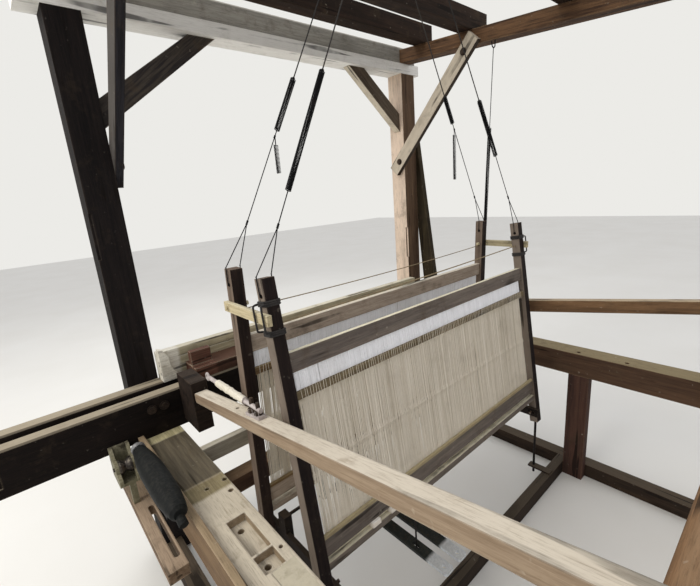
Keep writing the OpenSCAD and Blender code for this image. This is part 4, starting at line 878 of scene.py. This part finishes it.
def addCrossCords():
    post, steps = healdSet["post"], crossSet["steps"]
    for side in ("rear", "front"):
        c = crossSet[side]
        turn, width, _ = healdPlace(side)
        points = []
        for i in range(steps + 1):
            t = i / steps
            z = c["z"][0] + (c["z"][1] - c["z"][0]) * t - c["sag"] * 4 * t * (1 - t)
            points.append(turn @ Vector((post + (width - 2 * post) * t, crossSet["y"], z)))
        length = sum((q - p).length for p, q in zip(points, points[1:]))
        name = side + "_cross_cord"
        cord = newObject(name, tube(name, points, c["diameter"], eased=True))
        paint(cord, "tan_cord")
        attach(cord, side + "_heald")


addCrossCords()


# Pale packing blocks between the front frame's bottom rail and its low bar

packSet = {"x": (-0.223, -0.147), "size": (0.032, 0.036, 0.0165), "level": 0.138, "edge": 0.0012}


def addPackings():
    turn, _, _ = healdPlace("front")
    mesh = bmesh.new()
    for x in packSet["x"]:
        place = turn @ shift(x - turn.translation.x, 0, packSet["level"])
        made = bmesh.ops.create_cube(mesh, size=1.0, matrix=place @ Matrix.Diagonal((*packSet["size"], 1)))
        bevelEdges(mesh, edgesOf(made["verts"]), packSet["edge"], segments=1)
    keep(mesh, "packing_blocks", "packing_blocks", "front_heald")


addPackings()


# Turns of the harness cords round the roller, at its left and right grooves

rollerTurnSet = {"turns": (-1, 0, 1), "pitch": 0.0042, "cord": 0.0034, "steps": 24}


def addRollerTurns():
    s, reach = rollerTurnSet, harnessSet["reach"]
    low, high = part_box("harness_roller")
    c = (low + high) / 2
    angles = [i * math.tau / s["steps"] for i in range(s["steps"] + 1)]
    for hand, name in ((-1, "left"), (1, "right")):
        mesh = bmesh.new()
        for k in s["turns"]:
            x = c.x + hand * harnessSet["groove"] + k * s["pitch"]
            points = [Vector((x, c.y + reach * math.sin(t), c.z + reach * math.cos(t))) for t in angles]
            addTube(mesh, points, s["cord"])
        keep(mesh, "roller_cord_turns_" + name, "dark_cord", "roller")


addRollerTurns()
print("cords made")


# Floor and light

stageSet = {
    "size": 14.0, "drop": 0.0005, "floor": (232, 230, 224), "mottle": (222, 219, 211), "floorRough": 0.85,
    "sky": 0.82, "skyColour": (0.95, 0.96, 1.0, 1), "backdrop": (236, 235, 231), "aimAt": (0, 0, 0.9),
    "lamps": {
        "key": {"place": (-3.3, 0.9, 3.7), "size": 2.6, "power": 120, "colour": (1, 0.97, 0.92)},
        "fill": {"place": (1.5, 3.4, 3.8), "size": 3.2, "power": 42, "colour": (0.94, 0.97, 1)},
    },
}


def makeFloor(s):
    mesh = bmesh.new()
    bmesh.ops.create_grid(mesh, x_segments=1, y_segments=1, size=s["size"])
    data = bpy.data.meshes.new("floor")
    mesh.to_mesh(data)
    mesh.free()
    floor = newObject("floor", data)
    m = Maker("floor")
    colour = m.mix(tint(*s["floor"]), tint(*s["mottle"]), m.noise(m.place(), 1.5, 3.0, 0.55))
    data.materials.append(m.finish(colour, s["floorRough"]))
    floor.location.z = -s["drop"]


# The sky lights the loom; the camera, metal and glass see a plain backdrop instead
def makeWorld(s):
    world = bpy.data.worlds.new("world")
    bpy.context.scene.world = world
    world.use_nodes = True
    tree = world.node_tree
    back = tree.nodes["Background"]
    back.inputs[0].default_value = s["skyColour"]
    back.inputs[1].default_value = s["sky"]
    seen = tree.nodes.new("ShaderNodeBackground")
    seen.inputs[0].default_value = tint(*s["backdrop"])
    seen.inputs[1].default_value = 1.0
    path = tree.nodes.new("ShaderNodeLightPath")
    total = path.outputs["Is Camera Ray"]
    for ray in ("Is Glossy Ray", "Is Transmission Ray"):
        either = tree.nodes.new("ShaderNodeMath")
        either.operation = "MAXIMUM"
        tree.links.new(total, either.inputs[0])
        tree.links.new(path.outputs[ray], either.inputs[1])
        total = either.outputs[0]
    mix = tree.nodes.new("ShaderNodeMixShader")
    tree.links.new(total, mix.inputs[0])
    tree.links.new(back.outputs[0], mix.inputs[1])
    tree.links.new(seen.outputs[0], mix.inputs[2])
    tree.links.new(mix.outputs[0], tree.nodes["World Output"].inputs[0])


def makeLamps(s):
    for name, lamp in s["lamps"].items():
        light = bpy.data.lights.new(name, "AREA")
        light.size = lamp["size"]
        light.energy = lamp["power"]
        light.color = lamp["colour"]
        holder = newObject(name, light)
        holder.location = lamp["place"]
        toLoom = Vector(s["aimAt"]) - Vector(lamp["place"])
        holder.rotation_euler = toLoom.to_track_quat("-Z", "Y").to_euler()


makeFloor(stageSet)
makeWorld(stageSet)
makeLamps(stageSet)
bpy.context.scene.view_settings.view_transform = "Standard"
print("stage made")
